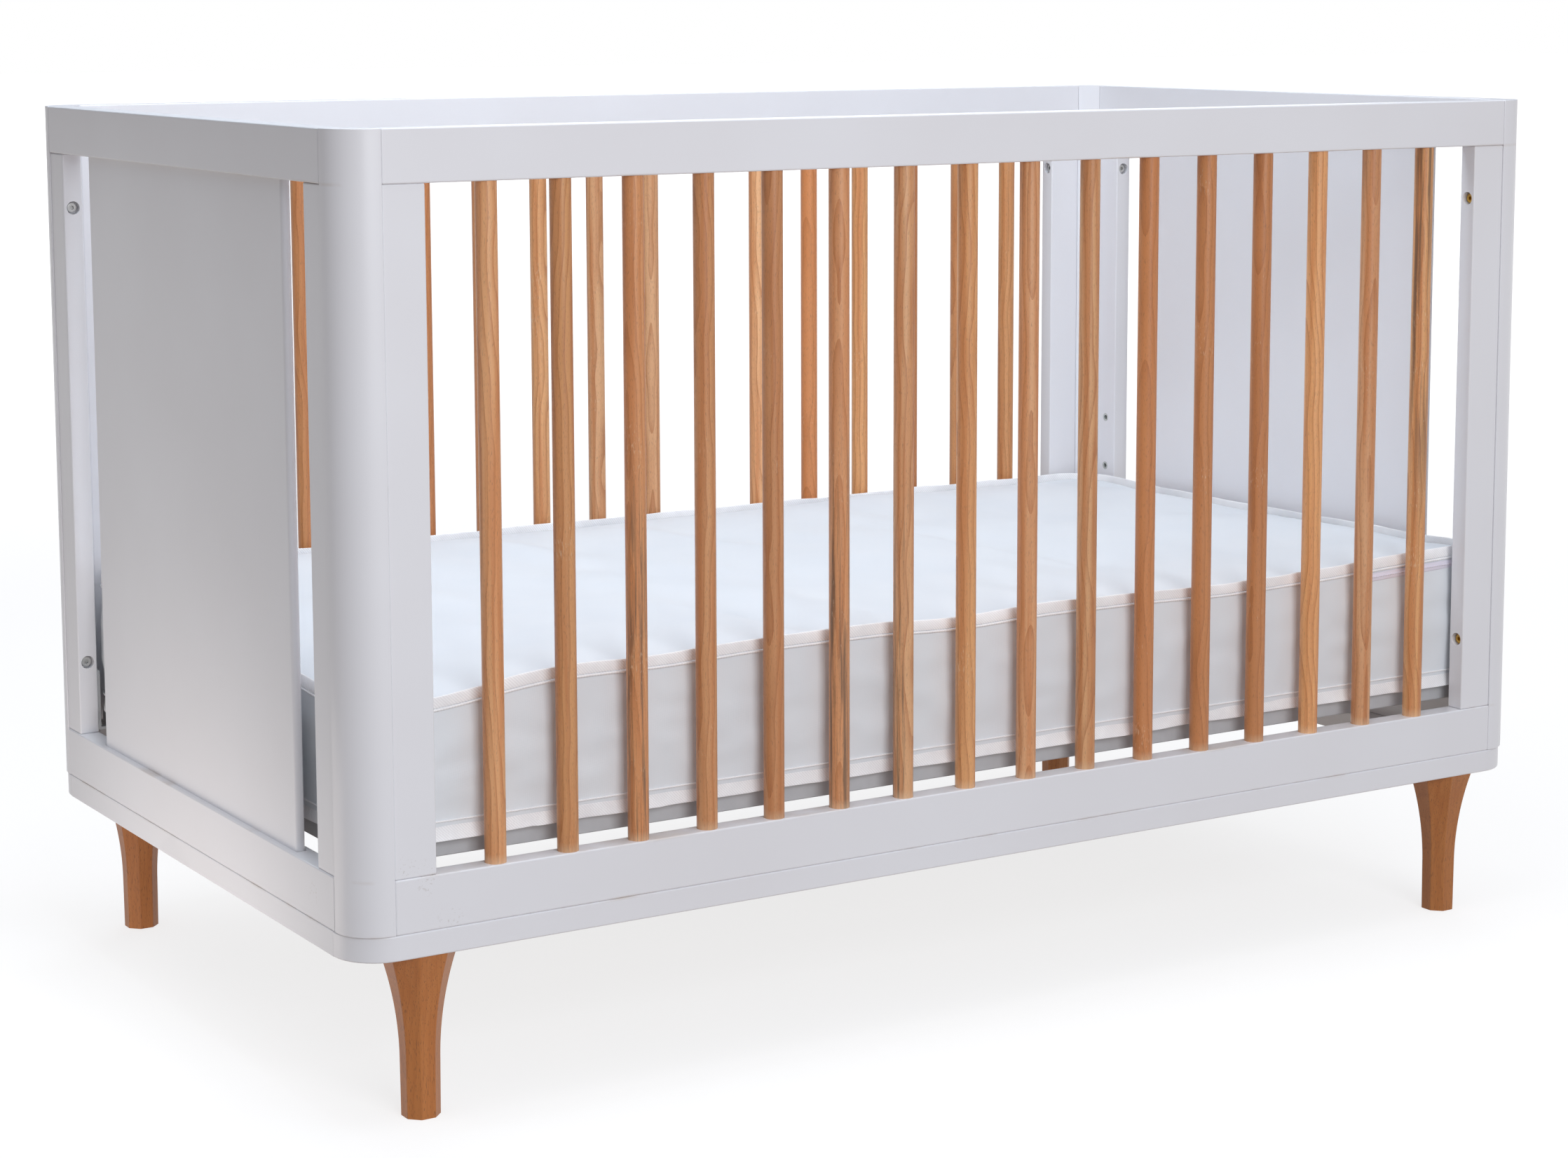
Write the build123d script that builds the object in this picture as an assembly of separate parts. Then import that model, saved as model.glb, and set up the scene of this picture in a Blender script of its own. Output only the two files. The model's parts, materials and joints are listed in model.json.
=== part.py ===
from build123d import *

import os

# A baby crib: four bolted frames (two slatted sides, two panelled ends) that meet in quarter-round
# corner posts, on a plinth with four turned-out octagonal legs, with a height-adjustable mattress base.
# Millimetres. +X runs along the length, -Y is the front side, +Z is up. The origin is at the centre of
# the footprint, on the floor.

# ---- Driving dimensions ----
LENGTH = 1365.0
WIDTH = 760.0
HEIGHT = 872.0
LEG_HEIGHT = 153.0
PLINTH_HEIGHT = 23.0
LOWER_RAIL_HEIGHT = 49.0
TOP_RAIL_HEIGHT = 47.0
RAIL_THICKNESS = 22.0
EASED_EDGE = 1.5

POST_SIDE = 40.0
POST_ROUND = 38.0
POST_SEAM_EDGE = 0.8

SIDE_STILE_WIDTH = 40.0
END_STILE_WIDTH = 36.0
STILE_THICKNESS = 20.0

SLAT_COUNT = 16
SLAT_PITCH = 72.1
SLAT_DIAMETER = 19.5
SLAT_TENON = 12.0

PANEL_WIDTH = 490.0
PANEL_THICKNESS = 9.0
PANEL_TENON = 10.0

PLINTH_DEPTH = 44.0
PLINTH_CORNER = 43.0

LEG_INSET_X = 76.0
LEG_INSET_Y = 34.0
LEG_FOOT_WIDTH = 32.6
LEG_SHANK_WIDTH = 33.4
LEG_TOP_WIDTH = 65.0
LEG_SHANK_HEIGHT = 50.0
LEG_CREASE_ROUND = 2.0
BLOCK_LENGTH = 72.0
BLOCK_DEPTH = 34.0

MATTRESS_LENGTH = 1304.0
MATTRESS_WIDTH = 700.0
MATTRESS_HEIGHT = 145.0
MATTRESS_CORNER = 50.0
COVER_THICKNESS = 2.0
TAPE_HEIGHT = 14.0
TAPE_THICKNESS = 1.5
ZIP_HEIGHT = 6.0
ZIP_THICKNESS = 1.2
ZIP_START = 485.0

BOARD_THICKNESS = 16.0
BOARD_LENGTH = 1300.0
BOARD_WIDTH = 688.0
BOARD_CORNER = 25.0
BOARD_BASE = 230.0
VENT_COLUMNS = 8
VENT_ROWS = 4
VENT_PITCH = 150.0
VENT_DIAMETER = 40.0

LEVELS = 4
LEVEL_STEP = 61.0
LOWEST_LEVEL = 276.0
BRACKET_THICKNESS = 3.0
BRACKET_WIDTH = 32.0
BRACKET_TOP = 14.0
BRACKET_REACH = 30.0
BRACKET_GAP = 0.2
SLOT_CLEARANCE = 0.2
HEAD_SLOT_WIDTH = 14.0
HEAD_SLOT_DEPTH = 12.0

BOLT_HEIGHTS = (300.0, 770.0)
BOLT_RADIUS = 3.0
BOLT_LENGTH = 45.0
BOLT_HEAD_RADIUS = 5.25
BOLT_HEAD_HEIGHT = 4.0
BOLT_SOCKET = 4.0
BOLT_SOCKET_DEPTH = 2.5
RECESS_RADIUS = 6.75
RECESS_DEPTH = 8.0
BRACKET_BOLT_LENGTH = 17.0
BRACKET_HEAD_RADIUS = 6.0
CLEARANCE_RADIUS = 3.3
INSERT_RADIUS = 5.0
INSERT_LENGTH = 15.0
DOWEL_RADIUS = 4.0
DOWEL_LENGTH = 30.0
DOWEL_SPACING = 22.0
SCREW_RADIUS = 2.0
SCREW_LENGTH = 13.0
SCREW_HEAD_RADIUS = 4.0
SCREW_HEAD_HEIGHT = 2.0
FIT_GAP = 0.05

# ---- Derived places ----
HALF_LENGTH = LENGTH / 2
HALF_WIDTH = WIDTH / 2
PLINTH_TOP = LEG_HEIGHT + PLINTH_HEIGHT
OPENING_BOTTOM = PLINTH_TOP + LOWER_RAIL_HEIGHT
OPENING_TOP = HEIGHT - TOP_RAIL_HEIGHT
SIDE_PLANE = HALF_WIDTH - RAIL_THICKNESS / 2
END_PLANE = HALF_LENGTH - RAIL_THICKNESS / 2
SIDE_SEAM = HALF_LENGTH - POST_SIDE
END_SEAM = HALF_WIDTH - POST_SIDE
SIDE_STILE_INNER = SIDE_SEAM - SIDE_STILE_WIDTH
END_STILE_INNER = END_SEAM - END_STILE_WIDTH
END_STILE_MIDDLE = END_SEAM - END_STILE_WIDTH / 2
STILE_FACE = END_PLANE - STILE_THICKNESS / 2
LEG_X = HALF_LENGTH - LEG_INSET_X
LEG_Y = HALF_WIDTH - LEG_INSET_Y
BOARD_TOP = BOARD_BASE + BOARD_THICKNESS
MATTRESS_TOP = BOARD_TOP + MATTRESS_HEIGHT
SLAT_PLACES = [(i - (SLAT_COUNT - 1) / 2) * SLAT_PITCH for i in range(SLAT_COUNT)]
SIDES = {"front": -1, "rear": 1}
ENDS = {"left": -1, "right": 1}
CORNER_TURN = {(-1, -1): 0, (1, -1): 90, (1, 1): 180, (-1, 1): 270}

nodes = {}


# ---- Helpers ----
def block(x, y, z):
    """A box between the two limits given for each axis."""
    size = [abs(limit[1] - limit[0]) for limit in (x, y, z)]
    middle = [(limit[0] + limit[1]) / 2 for limit in (x, y, z)]
    return Pos(*middle) * Box(*size)


def span(middle, size):
    """The two limits of a length about its middle."""
    return middle - size / 2, middle + size / 2


def eased(shape, radius=EASED_EDGE):
    """The shape with every edge rounded."""
    return fillet(shape.edges(), radius)


def rod(start, direction, length, radius):
    """A cylinder from a start point along a direction."""
    return extrude(Plane(start, z_dir=direction) * Circle(radius), length)


def without(piece, tools):
    """The piece less every tool whose box meets it."""
    box = piece.bounding_box()
    near = []
    for tool in tools:
        other = tool.bounding_box()
        apart = (
            other.min.X > box.max.X or other.max.X < box.min.X
            or other.min.Y > box.max.Y or other.max.Y < box.min.Y
            or other.min.Z > box.max.Z or other.max.Z < box.min.Z
        )
        if not apart:
            near.append(tool)
    return piece - near if near else piece


def button_bolt(seat, direction, length, head_radius):
    """A bolt whose head's underside is on the seat and whose shank runs along the direction."""
    plane = Plane(seat, z_dir=direction)
    shank = extrude(plane * Circle(BOLT_RADIUS - FIT_GAP), length)
    head = extrude(plane * Circle(head_radius), -BOLT_HEAD_HEIGHT)
    crown = plane.offset(-BOLT_HEAD_HEIGHT)
    head = fillet(head.edges().sort_by(lambda edge: (edge.center() - crown.origin).length)[0], 1.2)
    socket = extrude(crown * RegularPolygon(BOLT_SOCKET / 2, 6, major_radius=False), BOLT_SOCKET_DEPTH)
    return shank + head - socket


def insert_nut(mouth, direction):
    """A threaded sleeve sunk flush from its mouth along the direction."""
    sleeve = rod(mouth, direction, INSERT_LENGTH, INSERT_RADIUS - FIT_GAP)
    return sleeve - rod(mouth, direction, INSERT_LENGTH, BOLT_RADIUS)


# ---- Bores and fasteners of the frame ----
dowels, bolts, inserts, bracket_bolts, bores = [], [], [], [], []


def add_dowel(joint_face, direction):
    """A dowel centred on a joint face, and its bore in both pieces."""
    start = Vector(*joint_face) - Vector(*direction) * (DOWEL_LENGTH / 2)
    dowels.append(rod(start, direction, DOWEL_LENGTH, DOWEL_RADIUS - FIT_GAP))
    bores.append(rod(start, direction, DOWEL_LENGTH, DOWEL_RADIUS))


def add_insert(mouth, direction, extra_depth=0.0):
    """A threaded insert, its bore, and a narrower bore past it for a long bolt."""
    inserts.append(insert_nut(mouth, direction))
    bores.append(rod(mouth, direction, INSERT_LENGTH, INSERT_RADIUS))
    if extra_depth:
        bores.append(rod(mouth, direction, INSERT_LENGTH + extra_depth, CLEARANCE_RADIUS))


def add_bolt(face, direction, through, tip_room):
    """A recessed bolt through a board into an insert behind it."""
    face, direction = Vector(*face), Vector(*direction)
    seat = face + direction * RECESS_DEPTH
    bolts.append(button_bolt(seat, direction, BOLT_LENGTH, BOLT_HEAD_RADIUS))
    bores.append(rod(face, direction, RECESS_DEPTH, RECESS_RADIUS))
    bores.append(rod(face, direction, through, CLEARANCE_RADIUS))
    add_insert(face + direction * through, direction, tip_room)


for y_sign in SIDES.values():
    for x_sign in ENDS.values():
        side_y, end_x = y_sign * SIDE_PLANE, x_sign * END_PLANE
        for height in BOLT_HEIGHTS:
            add_bolt((x_sign * SIDE_STILE_INNER, side_y, height), (x_sign, 0, 0), SIDE_STILE_WIDTH, 1.0)
            add_bolt((end_x, y_sign * END_STILE_INNER, height), (0, y_sign, 0), END_STILE_WIDTH, 3.0)
        for middle in ((PLINTH_TOP + OPENING_BOTTOM) / 2, (OPENING_TOP + HEIGHT) / 2):
            for height in span(middle, DOWEL_SPACING):
                add_dowel((x_sign * SIDE_SEAM, side_y, height), (1, 0, 0))
                add_dowel((end_x, y_sign * END_SEAM, height), (0, 1, 0))
        for height in (OPENING_BOTTOM, OPENING_TOP):
            add_dowel((x_sign * (SIDE_SEAM - SIDE_STILE_WIDTH / 2), side_y, height), (0, 0, 1))
            add_dowel((end_x, y_sign * END_STILE_MIDDLE, height), (0, 0, 1))
        for level in range(LEVELS):
            mouth = (x_sign * STILE_FACE, y_sign * END_STILE_MIDDLE, LOWEST_LEVEL + level * LEVEL_STEP)
            add_insert(mouth, (x_sign, 0, 0))
        bolt_seat = (
            x_sign * (STILE_FACE - BRACKET_GAP - BRACKET_THICKNESS),
            y_sign * END_STILE_MIDDLE,
            LOWEST_LEVEL,
        )
        bracket_bolts.append(button_bolt(bolt_seat, (x_sign, 0, 0), BRACKET_BOLT_LENGTH, BRACKET_HEAD_RADIUS))
        add_bolt((x_sign * LEG_X, y_sign * LEG_Y, PLINTH_TOP), (0, 0, -1), PLINTH_HEIGHT, 16.0)

for y_sign in SIDES.values():
    for x in (-500, -250, 0, 250, 500):
        add_dowel((x, y_sign * SIDE_PLANE, PLINTH_TOP), (0, 0, 1))
for x_sign in ENDS.values():
    for y in (-200, 0, 200):
        add_dowel((x_sign * END_PLANE, y, PLINTH_TOP), (0, 0, 1))


# ---- Corner posts ----
def corner_post(x_sign, y_sign):
    """A quarter-round post with its inner corner cut off flat between the two frames."""
    section = Pos(POST_SIDE / 2, POST_SIDE / 2) * Rectangle(POST_SIDE, POST_SIDE)
    section = fillet(section.vertices().sort_by(lambda v: v.X + v.Y)[0], POST_ROUND)
    inner_cut = Polygon(
        (RAIL_THICKNESS, POST_SIDE), (POST_SIDE, RAIL_THICKNESS), (POST_SIDE, POST_SIDE), align=None
    )
    post = extrude(section - inner_cut, HEIGHT - PLINTH_TOP)
    seams = post.edges().filter_by(Axis.Z).filter_by(lambda e: min(e.center().X, e.center().Y) < 0.1)
    seams = seams.filter_by(lambda e: max(e.center().X, e.center().Y) > POST_SIDE - 0.1)
    post = fillet(seams, POST_SEAM_EDGE)
    rims = post.edges().filter_by(lambda e: e.center().Z < 0.1 or e.center().Z > HEIGHT - PLINTH_TOP - 0.1)
    rims = rims.filter_by(lambda e: e.center().X + e.center().Y < POST_SIDE)
    post = fillet(rims, POST_SEAM_EDGE)
    place = Pos(x_sign * HALF_LENGTH, y_sign * HALF_WIDTH, PLINTH_TOP)
    return without(place * Rot(0, 0, CORNER_TURN[x_sign, y_sign]) * post, bores)


# ---- Slatted sides ----
def slat(x, y):
    """A round slat with a tenon's length in each rail."""
    base = OPENING_BOTTOM - SLAT_TENON
    return rod((x, y, base), (0, 0, 1), OPENING_TOP - OPENING_BOTTOM + 2 * SLAT_TENON, SLAT_DIAMETER / 2)


def side_frame(name, y_sign):
    """The two long rails and two stiles of a slatted side."""
    y = y_sign * SIDE_PLANE
    sockets = [
        rod((x, y, OPENING_BOTTOM - SLAT_TENON), (0, 0, 1),
            OPENING_TOP - OPENING_BOTTOM + 2 * SLAT_TENON, SLAT_DIAMETER / 2 + FIT_GAP)
        for x in SLAT_PLACES
    ]
    for part_name, heights in (("lower", (PLINTH_TOP, OPENING_BOTTOM)), ("top", (OPENING_TOP, HEIGHT))):
        rail = eased(block((-SIDE_SEAM, SIDE_SEAM), span(y, RAIL_THICKNESS), heights))
        nodes[f"{name}_{part_name}_rail"] = without(rail, bores) - sockets
    for end_name, x_sign in ENDS.items():
        x_limits = sorted((x_sign * SIDE_STILE_INNER, x_sign * SIDE_SEAM))
        stile = eased(block(x_limits, span(y, STILE_THICKNESS), (OPENING_BOTTOM, OPENING_TOP)))
        nodes[f"{name}_{end_name}_stile"] = without(stile, bores)


# ---- Panelled ends ----
def end_frame(name, x_sign):
    """The two short rails, two stiles and floating panel of an end."""
    x = x_sign * END_PLANE
    panel_heights = (OPENING_BOTTOM - PANEL_TENON, OPENING_TOP + PANEL_TENON)
    groove = block(
        span(x, PANEL_THICKNESS + 4 * FIT_GAP), span(0, PANEL_WIDTH + 4 * FIT_GAP), panel_heights
    )
    for part_name, heights in (("lower", (PLINTH_TOP, OPENING_BOTTOM)), ("top", (OPENING_TOP, HEIGHT))):
        rail = eased(block(span(x, RAIL_THICKNESS), (-END_SEAM, END_SEAM), heights))
        nodes[f"{name}_{part_name}_rail"] = without(rail, bores) - groove
    for side_name, y_sign in SIDES.items():
        y_limits = sorted((y_sign * END_STILE_INNER, y_sign * END_SEAM))
        stile = eased(block(span(x, STILE_THICKNESS), y_limits, (OPENING_BOTTOM, OPENING_TOP)))
        nodes[f"{name}_{side_name}_stile"] = without(stile, bores)
    panel = block(span(x, PANEL_THICKNESS), span(0, PANEL_WIDTH), panel_heights)
    nodes[f"{name}_panel"] = fillet(panel.edges().filter_by(Axis.Z), PANEL_THICKNESS / 2 - 0.3)


# ---- Plinth and legs ----
def plinth():
    """Two long boards with rounded corners, two short boards between them, and four corner blocks."""
    heights = (LEG_HEIGHT, PLINTH_TOP)
    for name, y_sign in SIDES.items():
        y_limits = sorted((y_sign * (HALF_WIDTH - PLINTH_DEPTH), y_sign * HALF_WIDTH))
        board = block((-HALF_LENGTH, HALF_LENGTH), y_limits, heights)
        corners = board.edges().filter_by(Axis.Z).filter_by(lambda e: e.center().Y * y_sign > HALF_WIDTH - 1)
        board = fillet(corners, PLINTH_CORNER)
        rims = board.edges().filter_by(lambda e: abs(e.center().Z - LEG_HEIGHT) < 0.1
                                       or abs(e.center().Z - PLINTH_TOP) < 0.1)
        rims = rims.filter_by(lambda e: e.center().Y * y_sign > HALF_WIDTH - PLINTH_DEPTH + 5)
        nodes[f"{name}_plinth_board"] = without(fillet(rims, EASED_EDGE), bores)
    for name, x_sign in ENDS.items():
        x_limits = sorted((x_sign * (HALF_LENGTH - PLINTH_DEPTH), x_sign * HALF_LENGTH))
        inner = HALF_WIDTH - PLINTH_DEPTH
        board = eased(block(x_limits, (-inner, inner), heights), POST_SEAM_EDGE)
        nodes[f"{name}_plinth_board"] = without(board, bores)
    blocks = []
    for x_sign in ENDS.values():
        for y_sign in SIDES.values():
            outer_x, outer_y = HALF_LENGTH - PLINTH_DEPTH, HALF_WIDTH - PLINTH_DEPTH
            blocks.append(block(
                sorted((x_sign * (outer_x - BLOCK_LENGTH), x_sign * outer_x)),
                sorted((y_sign * (outer_y - BLOCK_DEPTH), y_sign * outer_y)),
                heights,
            ))
    nodes["corner_blocks"] = Compound(blocks)


def leg(x_sign, y_sign):
    """An octagonal leg: one flared outline, straight at the foot and an arc above, cut on four axes."""
    foot, shank, top = LEG_FOOT_WIDTH / 2, LEG_SHANK_WIDTH / 2, LEG_TOP_WIDTH / 2
    right = Line((foot, 0), (shank, LEG_SHANK_HEIGHT))
    right += TangentArc((shank, LEG_SHANK_HEIGHT), (top, LEG_HEIGHT), tangent=(0, 1))
    across = Line((top, LEG_HEIGHT), (-top, LEG_HEIGHT))
    left = TangentArc((-shank, LEG_SHANK_HEIGHT), (-top, LEG_HEIGHT), tangent=(0, 1))
    left += Line((-shank, LEG_SHANK_HEIGHT), (-foot, 0))
    outline = make_face(Plane.XZ * (right + across + left + Line((-foot, 0), (foot, 0))))
    slab = extrude(outline, LEG_TOP_WIDTH, both=True)
    shape = slab
    for turn in (45, 90, 135):
        shape = shape & (Rot(0, 0, turn) * slab)
    creases = shape.edges().filter_by(lambda e: 1 < e.center().Z < LEG_HEIGHT - 1)
    creases = creases.filter_by(lambda e: e.bounding_box().size.Z > 10)
    shape = fillet(creases, LEG_CREASE_ROUND)
    return without(Pos(x_sign * LEG_X, y_sign * LEG_Y, 0) * shape, bores)


# ---- Mattress base ----
def support_bracket(x_sign, y_sign):
    """A hook-on bracket: an upright plate with a slot open downwards, and a shelf under the board."""
    face = STILE_FACE - BRACKET_GAP
    low, high = BOARD_BASE - BRACKET_THICKNESS, LOWEST_LEVEL + BRACKET_TOP
    middle = y_sign * END_STILE_MIDDLE
    plate = block(sorted((x_sign * (face - BRACKET_THICKNESS), x_sign * face)), span(middle, BRACKET_WIDTH),
                  (low, high))
    shelf = block(sorted((x_sign * (face - BRACKET_REACH), x_sign * face)), span(middle, BRACKET_WIDTH),
                  (low, BOARD_BASE))
    slot_radius = BOLT_RADIUS + SLOT_CLEARANCE
    slot = block(sorted((x_sign * (face - 2 * BRACKET_THICKNESS), x_sign * (face + 1))),
                 span(middle, 2 * slot_radius), (low - 1, LOWEST_LEVEL))
    slot += rod((x_sign * (face - 2 * BRACKET_THICKNESS), middle, LOWEST_LEVEL), (x_sign, 0, 0),
                2 * BRACKET_THICKNESS + 1, slot_radius)
    head_slot = block(sorted((x_sign * (face - HEAD_SLOT_DEPTH), x_sign * (face + 1))),
                      span(middle, HEAD_SLOT_WIDTH), (low - 1, BOARD_BASE + 1))
    tops = plate.edges().filter_by(Axis.X).sort_by(Axis.Z)[-2:]
    return fillet(tops, 4) + shelf - slot - head_slot


def screw_places():
    """Where the screws come up through the shelves, one each side of the slot."""
    x = STILE_FACE - BRACKET_GAP - BRACKET_REACH + 8
    for x_sign in ENDS.values():
        for y_sign in SIDES.values():
            for y in span(END_STILE_MIDDLE, BRACKET_WIDTH / 2):
                yield x_sign * x, y_sign * y


def support():
    """The mattress board with its vents, the four brackets, and the screws between them."""
    section = RectangleRounded(BOARD_LENGTH, BOARD_WIDTH, BOARD_CORNER)
    board = extrude(Pos(0, 0, BOARD_BASE) * section, BOARD_THICKNESS)
    outer = board.edges().filter_by(lambda e: e.bounding_box().size.Z < 0.1)
    board = fillet(outer, EASED_EDGE)
    vents = [
        rod(((column - (VENT_COLUMNS - 1) / 2) * VENT_PITCH, (row - (VENT_ROWS - 1) / 2) * VENT_PITCH,
             BOARD_BASE - 1), (0, 0, 1), BOARD_THICKNESS + 2, VENT_DIAMETER / 2)
        for column in range(VENT_COLUMNS) for row in range(VENT_ROWS)
    ]
    low = BOARD_BASE - BRACKET_THICKNESS
    screws, screw_bores = [], []
    for x, y in screw_places():
        screws.append(
            rod((x, y, low), (0, 0, 1), SCREW_LENGTH, SCREW_RADIUS - FIT_GAP)
            + rod((x, y, low - SCREW_HEAD_HEIGHT), (0, 0, 1), SCREW_HEAD_HEIGHT, SCREW_HEAD_RADIUS)
        )
        screw_bores.append(rod((x, y, low), (0, 0, 1), SCREW_LENGTH, SCREW_RADIUS))
    nodes["support_board"] = board - vents - screw_bores
    brackets = [support_bracket(x_sign, y_sign) for x_sign in ENDS.values() for y_sign in SIDES.values()]
    nodes["support_brackets"] = Compound([without(bracket, screw_bores) for bracket in brackets])
    nodes["bracket_screws"] = Compound(screws)


# ---- Mattress ----
def mattress_slab(grown, low, high):
    """The mattress outline, grown by an amount, between two heights."""
    section = RectangleRounded(
        MATTRESS_LENGTH + 2 * grown, MATTRESS_WIDTH + 2 * grown, MATTRESS_CORNER + grown
    )
    return extrude(Pos(0, 0, low) * section, high - low)


def mattress():
    """The foam core, its sewn cover, the tapes on the two edges, and the zip."""
    skin = COVER_THICKNESS
    core = mattress_slab(-skin, BOARD_TOP + skin, MATTRESS_TOP - skin)
    nodes["mattress_core"] = core
    nodes["mattress_cover"] = mattress_slab(0, BOARD_TOP, MATTRESS_TOP - skin) - core
    nodes["mattress_top_panel"] = mattress_slab(0, MATTRESS_TOP - skin, MATTRESS_TOP)
    tapes = [
        mattress_slab(TAPE_THICKNESS, low, low + TAPE_HEIGHT) - mattress_slab(0, low, low + TAPE_HEIGHT)
        for low in (BOARD_TOP, MATTRESS_TOP - TAPE_HEIGHT)
    ]
    nodes["mattress_tapes"] = Compound(tapes)
    zip_top = MATTRESS_TOP - TAPE_HEIGHT
    zip_low = zip_top - ZIP_HEIGHT
    chain = mattress_slab(ZIP_THICKNESS, zip_low, zip_top) - mattress_slab(0, zip_low, zip_top)
    chain = chain & block((ZIP_START, LENGTH), (-WIDTH, WIDTH), (zip_low, zip_top))
    front = -MATTRESS_WIDTH / 2
    slider = eased(block((ZIP_START - 9, ZIP_START), (front - 3, front), (zip_low, zip_top)), 0.6)
    pull = eased(block((ZIP_START - 7, ZIP_START - 2), (front - 2, front - 0.8), (zip_low - 18, zip_low)), 0.4)
    nodes["mattress_zip"] = Compound([*chain.solids(), slider, pull])


# ---- Assembly ----
for side, y_sign in SIDES.items():
    for end, x_sign in ENDS.items():
        nodes[f"{side}_{end}_post"] = corner_post(x_sign, y_sign)
        nodes[f"{side}_{end}_leg"] = leg(x_sign, y_sign)
    side_frame(side, y_sign)
for end, x_sign in ENDS.items():
    end_frame(end, x_sign)
plinth()
for number, x in enumerate(SLAT_PLACES, start=1):
    nodes[f"front_slat_{number:02d}"] = slat(x, -SIDE_PLANE)
nodes["rear_slats"] = Compound([slat(x, SIDE_PLANE) for x in SLAT_PLACES])
support()
mattress()
nodes["frame_bolts"] = Compound(bolts)
nodes["threaded_inserts"] = Compound(inserts)
nodes["bracket_bolts"] = Compound(bracket_bolts)
nodes["wood_dowels"] = Compound(dowels)

os.makedirs("parts", exist_ok=True)
for name, shape in nodes.items():
    export_step(Compound(shape.solids()), f"parts/{name}.step")
print(len(nodes), "nodes")
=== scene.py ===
"""Looks of a baby crib: its finishes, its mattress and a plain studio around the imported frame.

The hard pieces are the frame's own nodes, which only get their finishes here. The mattress is made
here as sewn cloth over foam: a padded body, two edge tapes and a zip.
"""

from __future__ import annotations

import json
import logging
import math
from dataclasses import dataclass, field
from enum import Enum

import bmesh
import bpy
import numpy as np
from mathutils import Matrix, Vector

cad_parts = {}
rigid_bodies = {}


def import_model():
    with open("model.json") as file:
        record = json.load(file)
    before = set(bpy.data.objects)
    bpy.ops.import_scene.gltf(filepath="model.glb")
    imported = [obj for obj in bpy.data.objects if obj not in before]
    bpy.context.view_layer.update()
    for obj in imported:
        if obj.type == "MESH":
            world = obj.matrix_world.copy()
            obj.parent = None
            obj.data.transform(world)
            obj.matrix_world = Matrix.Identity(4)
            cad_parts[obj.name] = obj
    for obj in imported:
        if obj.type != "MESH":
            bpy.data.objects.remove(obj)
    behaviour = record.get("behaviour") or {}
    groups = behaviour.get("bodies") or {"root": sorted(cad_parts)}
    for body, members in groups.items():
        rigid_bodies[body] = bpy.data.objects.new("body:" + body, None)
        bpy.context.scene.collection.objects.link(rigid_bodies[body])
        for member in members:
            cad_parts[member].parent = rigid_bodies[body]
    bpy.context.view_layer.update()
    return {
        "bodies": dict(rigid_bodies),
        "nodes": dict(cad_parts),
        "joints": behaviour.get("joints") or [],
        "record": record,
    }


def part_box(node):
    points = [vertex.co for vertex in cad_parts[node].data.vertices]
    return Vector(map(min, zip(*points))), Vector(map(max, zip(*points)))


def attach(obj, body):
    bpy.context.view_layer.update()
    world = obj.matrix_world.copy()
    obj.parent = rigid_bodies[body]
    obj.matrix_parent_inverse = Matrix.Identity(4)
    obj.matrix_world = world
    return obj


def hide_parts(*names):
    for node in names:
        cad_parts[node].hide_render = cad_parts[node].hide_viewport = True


LOG = logging.getLogger("crib")
MM = 0.001


class Slot(Enum):
    """The record's material slots, by the name that each has there."""

    LACQUER = "white_lacquer"
    SLAT = "washed_slat_wood"
    LEG = "leg_wood"
    RAW = "raw_wood"
    FOAM = "foam"
    COVER = "cover_cloth"
    TOP = "top_cloth"
    TAPE = "binding_tape"
    ZIP = "zip_nylon"
    BOARD = "base_board"
    BRACKET = "bracket_steel"
    BOLT = "bolt_steel"
    INSERT = "insert_zinc"


# ---------------------------------------------------------------------------------------- nodes


def linear(colour: str) -> tuple[float, float, float, float]:
    """Turns an sRGB hex colour into the linear colour that a shader takes.

    Each channel up to 0.04045 is divided by 12.92, and above it (c + 0.055) / 1.055 is raised to 2.4.

    Args:
        colour: six hex digits after a hash sign.
    Returns:
        Linear red, green and blue, and an alpha of one.
    """
    channels = [int(colour[start : start + 2], 16) / 255 for start in (1, 3, 5)]
    red, green, blue = (c / 12.92 if c <= 0.04045 else ((c + 0.055) / 1.055) ** 2.4 for c in channels)
    return red, green, blue, 1.0


def feed(tree: bpy.types.NodeTree, node: bpy.types.Node, feeds: dict[str | int, object]) -> None:
    """Gives inputs of a node their values and links.

    Args:
        tree: the node tree that the node is in.
        node: the node.
        feeds: what each input takes: an output socket, a node, which stands for its first live output,
            a hex colour or a plain value.
    """
    for socket, value in feeds.items():
        if isinstance(value, bpy.types.Node):
            value = next(output for output in value.outputs if output.enabled)
        if isinstance(value, bpy.types.NodeSocket):
            tree.links.new(value, node.inputs[socket])
        else:
            node.inputs[socket].default_value = linear(value) if isinstance(value, str) else value


def add(
    tree: bpy.types.NodeTree,
    kind: str,
    feeds: dict[str | int, object] | None = None,
    stops: tuple[tuple[float, str], ...] = (),
    **settings: object,
) -> bpy.types.Node:
    """Adds one node with its settings and links.

    Args:
        tree: the node tree that gets the node.
        kind: the node's Blender type, without the ShaderNode that it starts with.
        feeds: what each input takes, as feed has it.
        stops: positions and hex colours, for a colour ramp only.
        settings: attributes set on the node itself.
    Returns:
        The new node.
    """
    made = tree.nodes.new(f"ShaderNode{kind}")
    for name, value in settings.items():
        setattr(made, name, value)
    for position, colour in stops:
        made.color_ramp.elements.new(position).color = linear(colour)
    if stops:
        made.color_ramp.elements.remove(made.color_ramp.elements[0])
        made.color_ramp.elements.remove(made.color_ramp.elements[-1])
    feed(tree, made, feeds or {})
    return made


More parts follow.
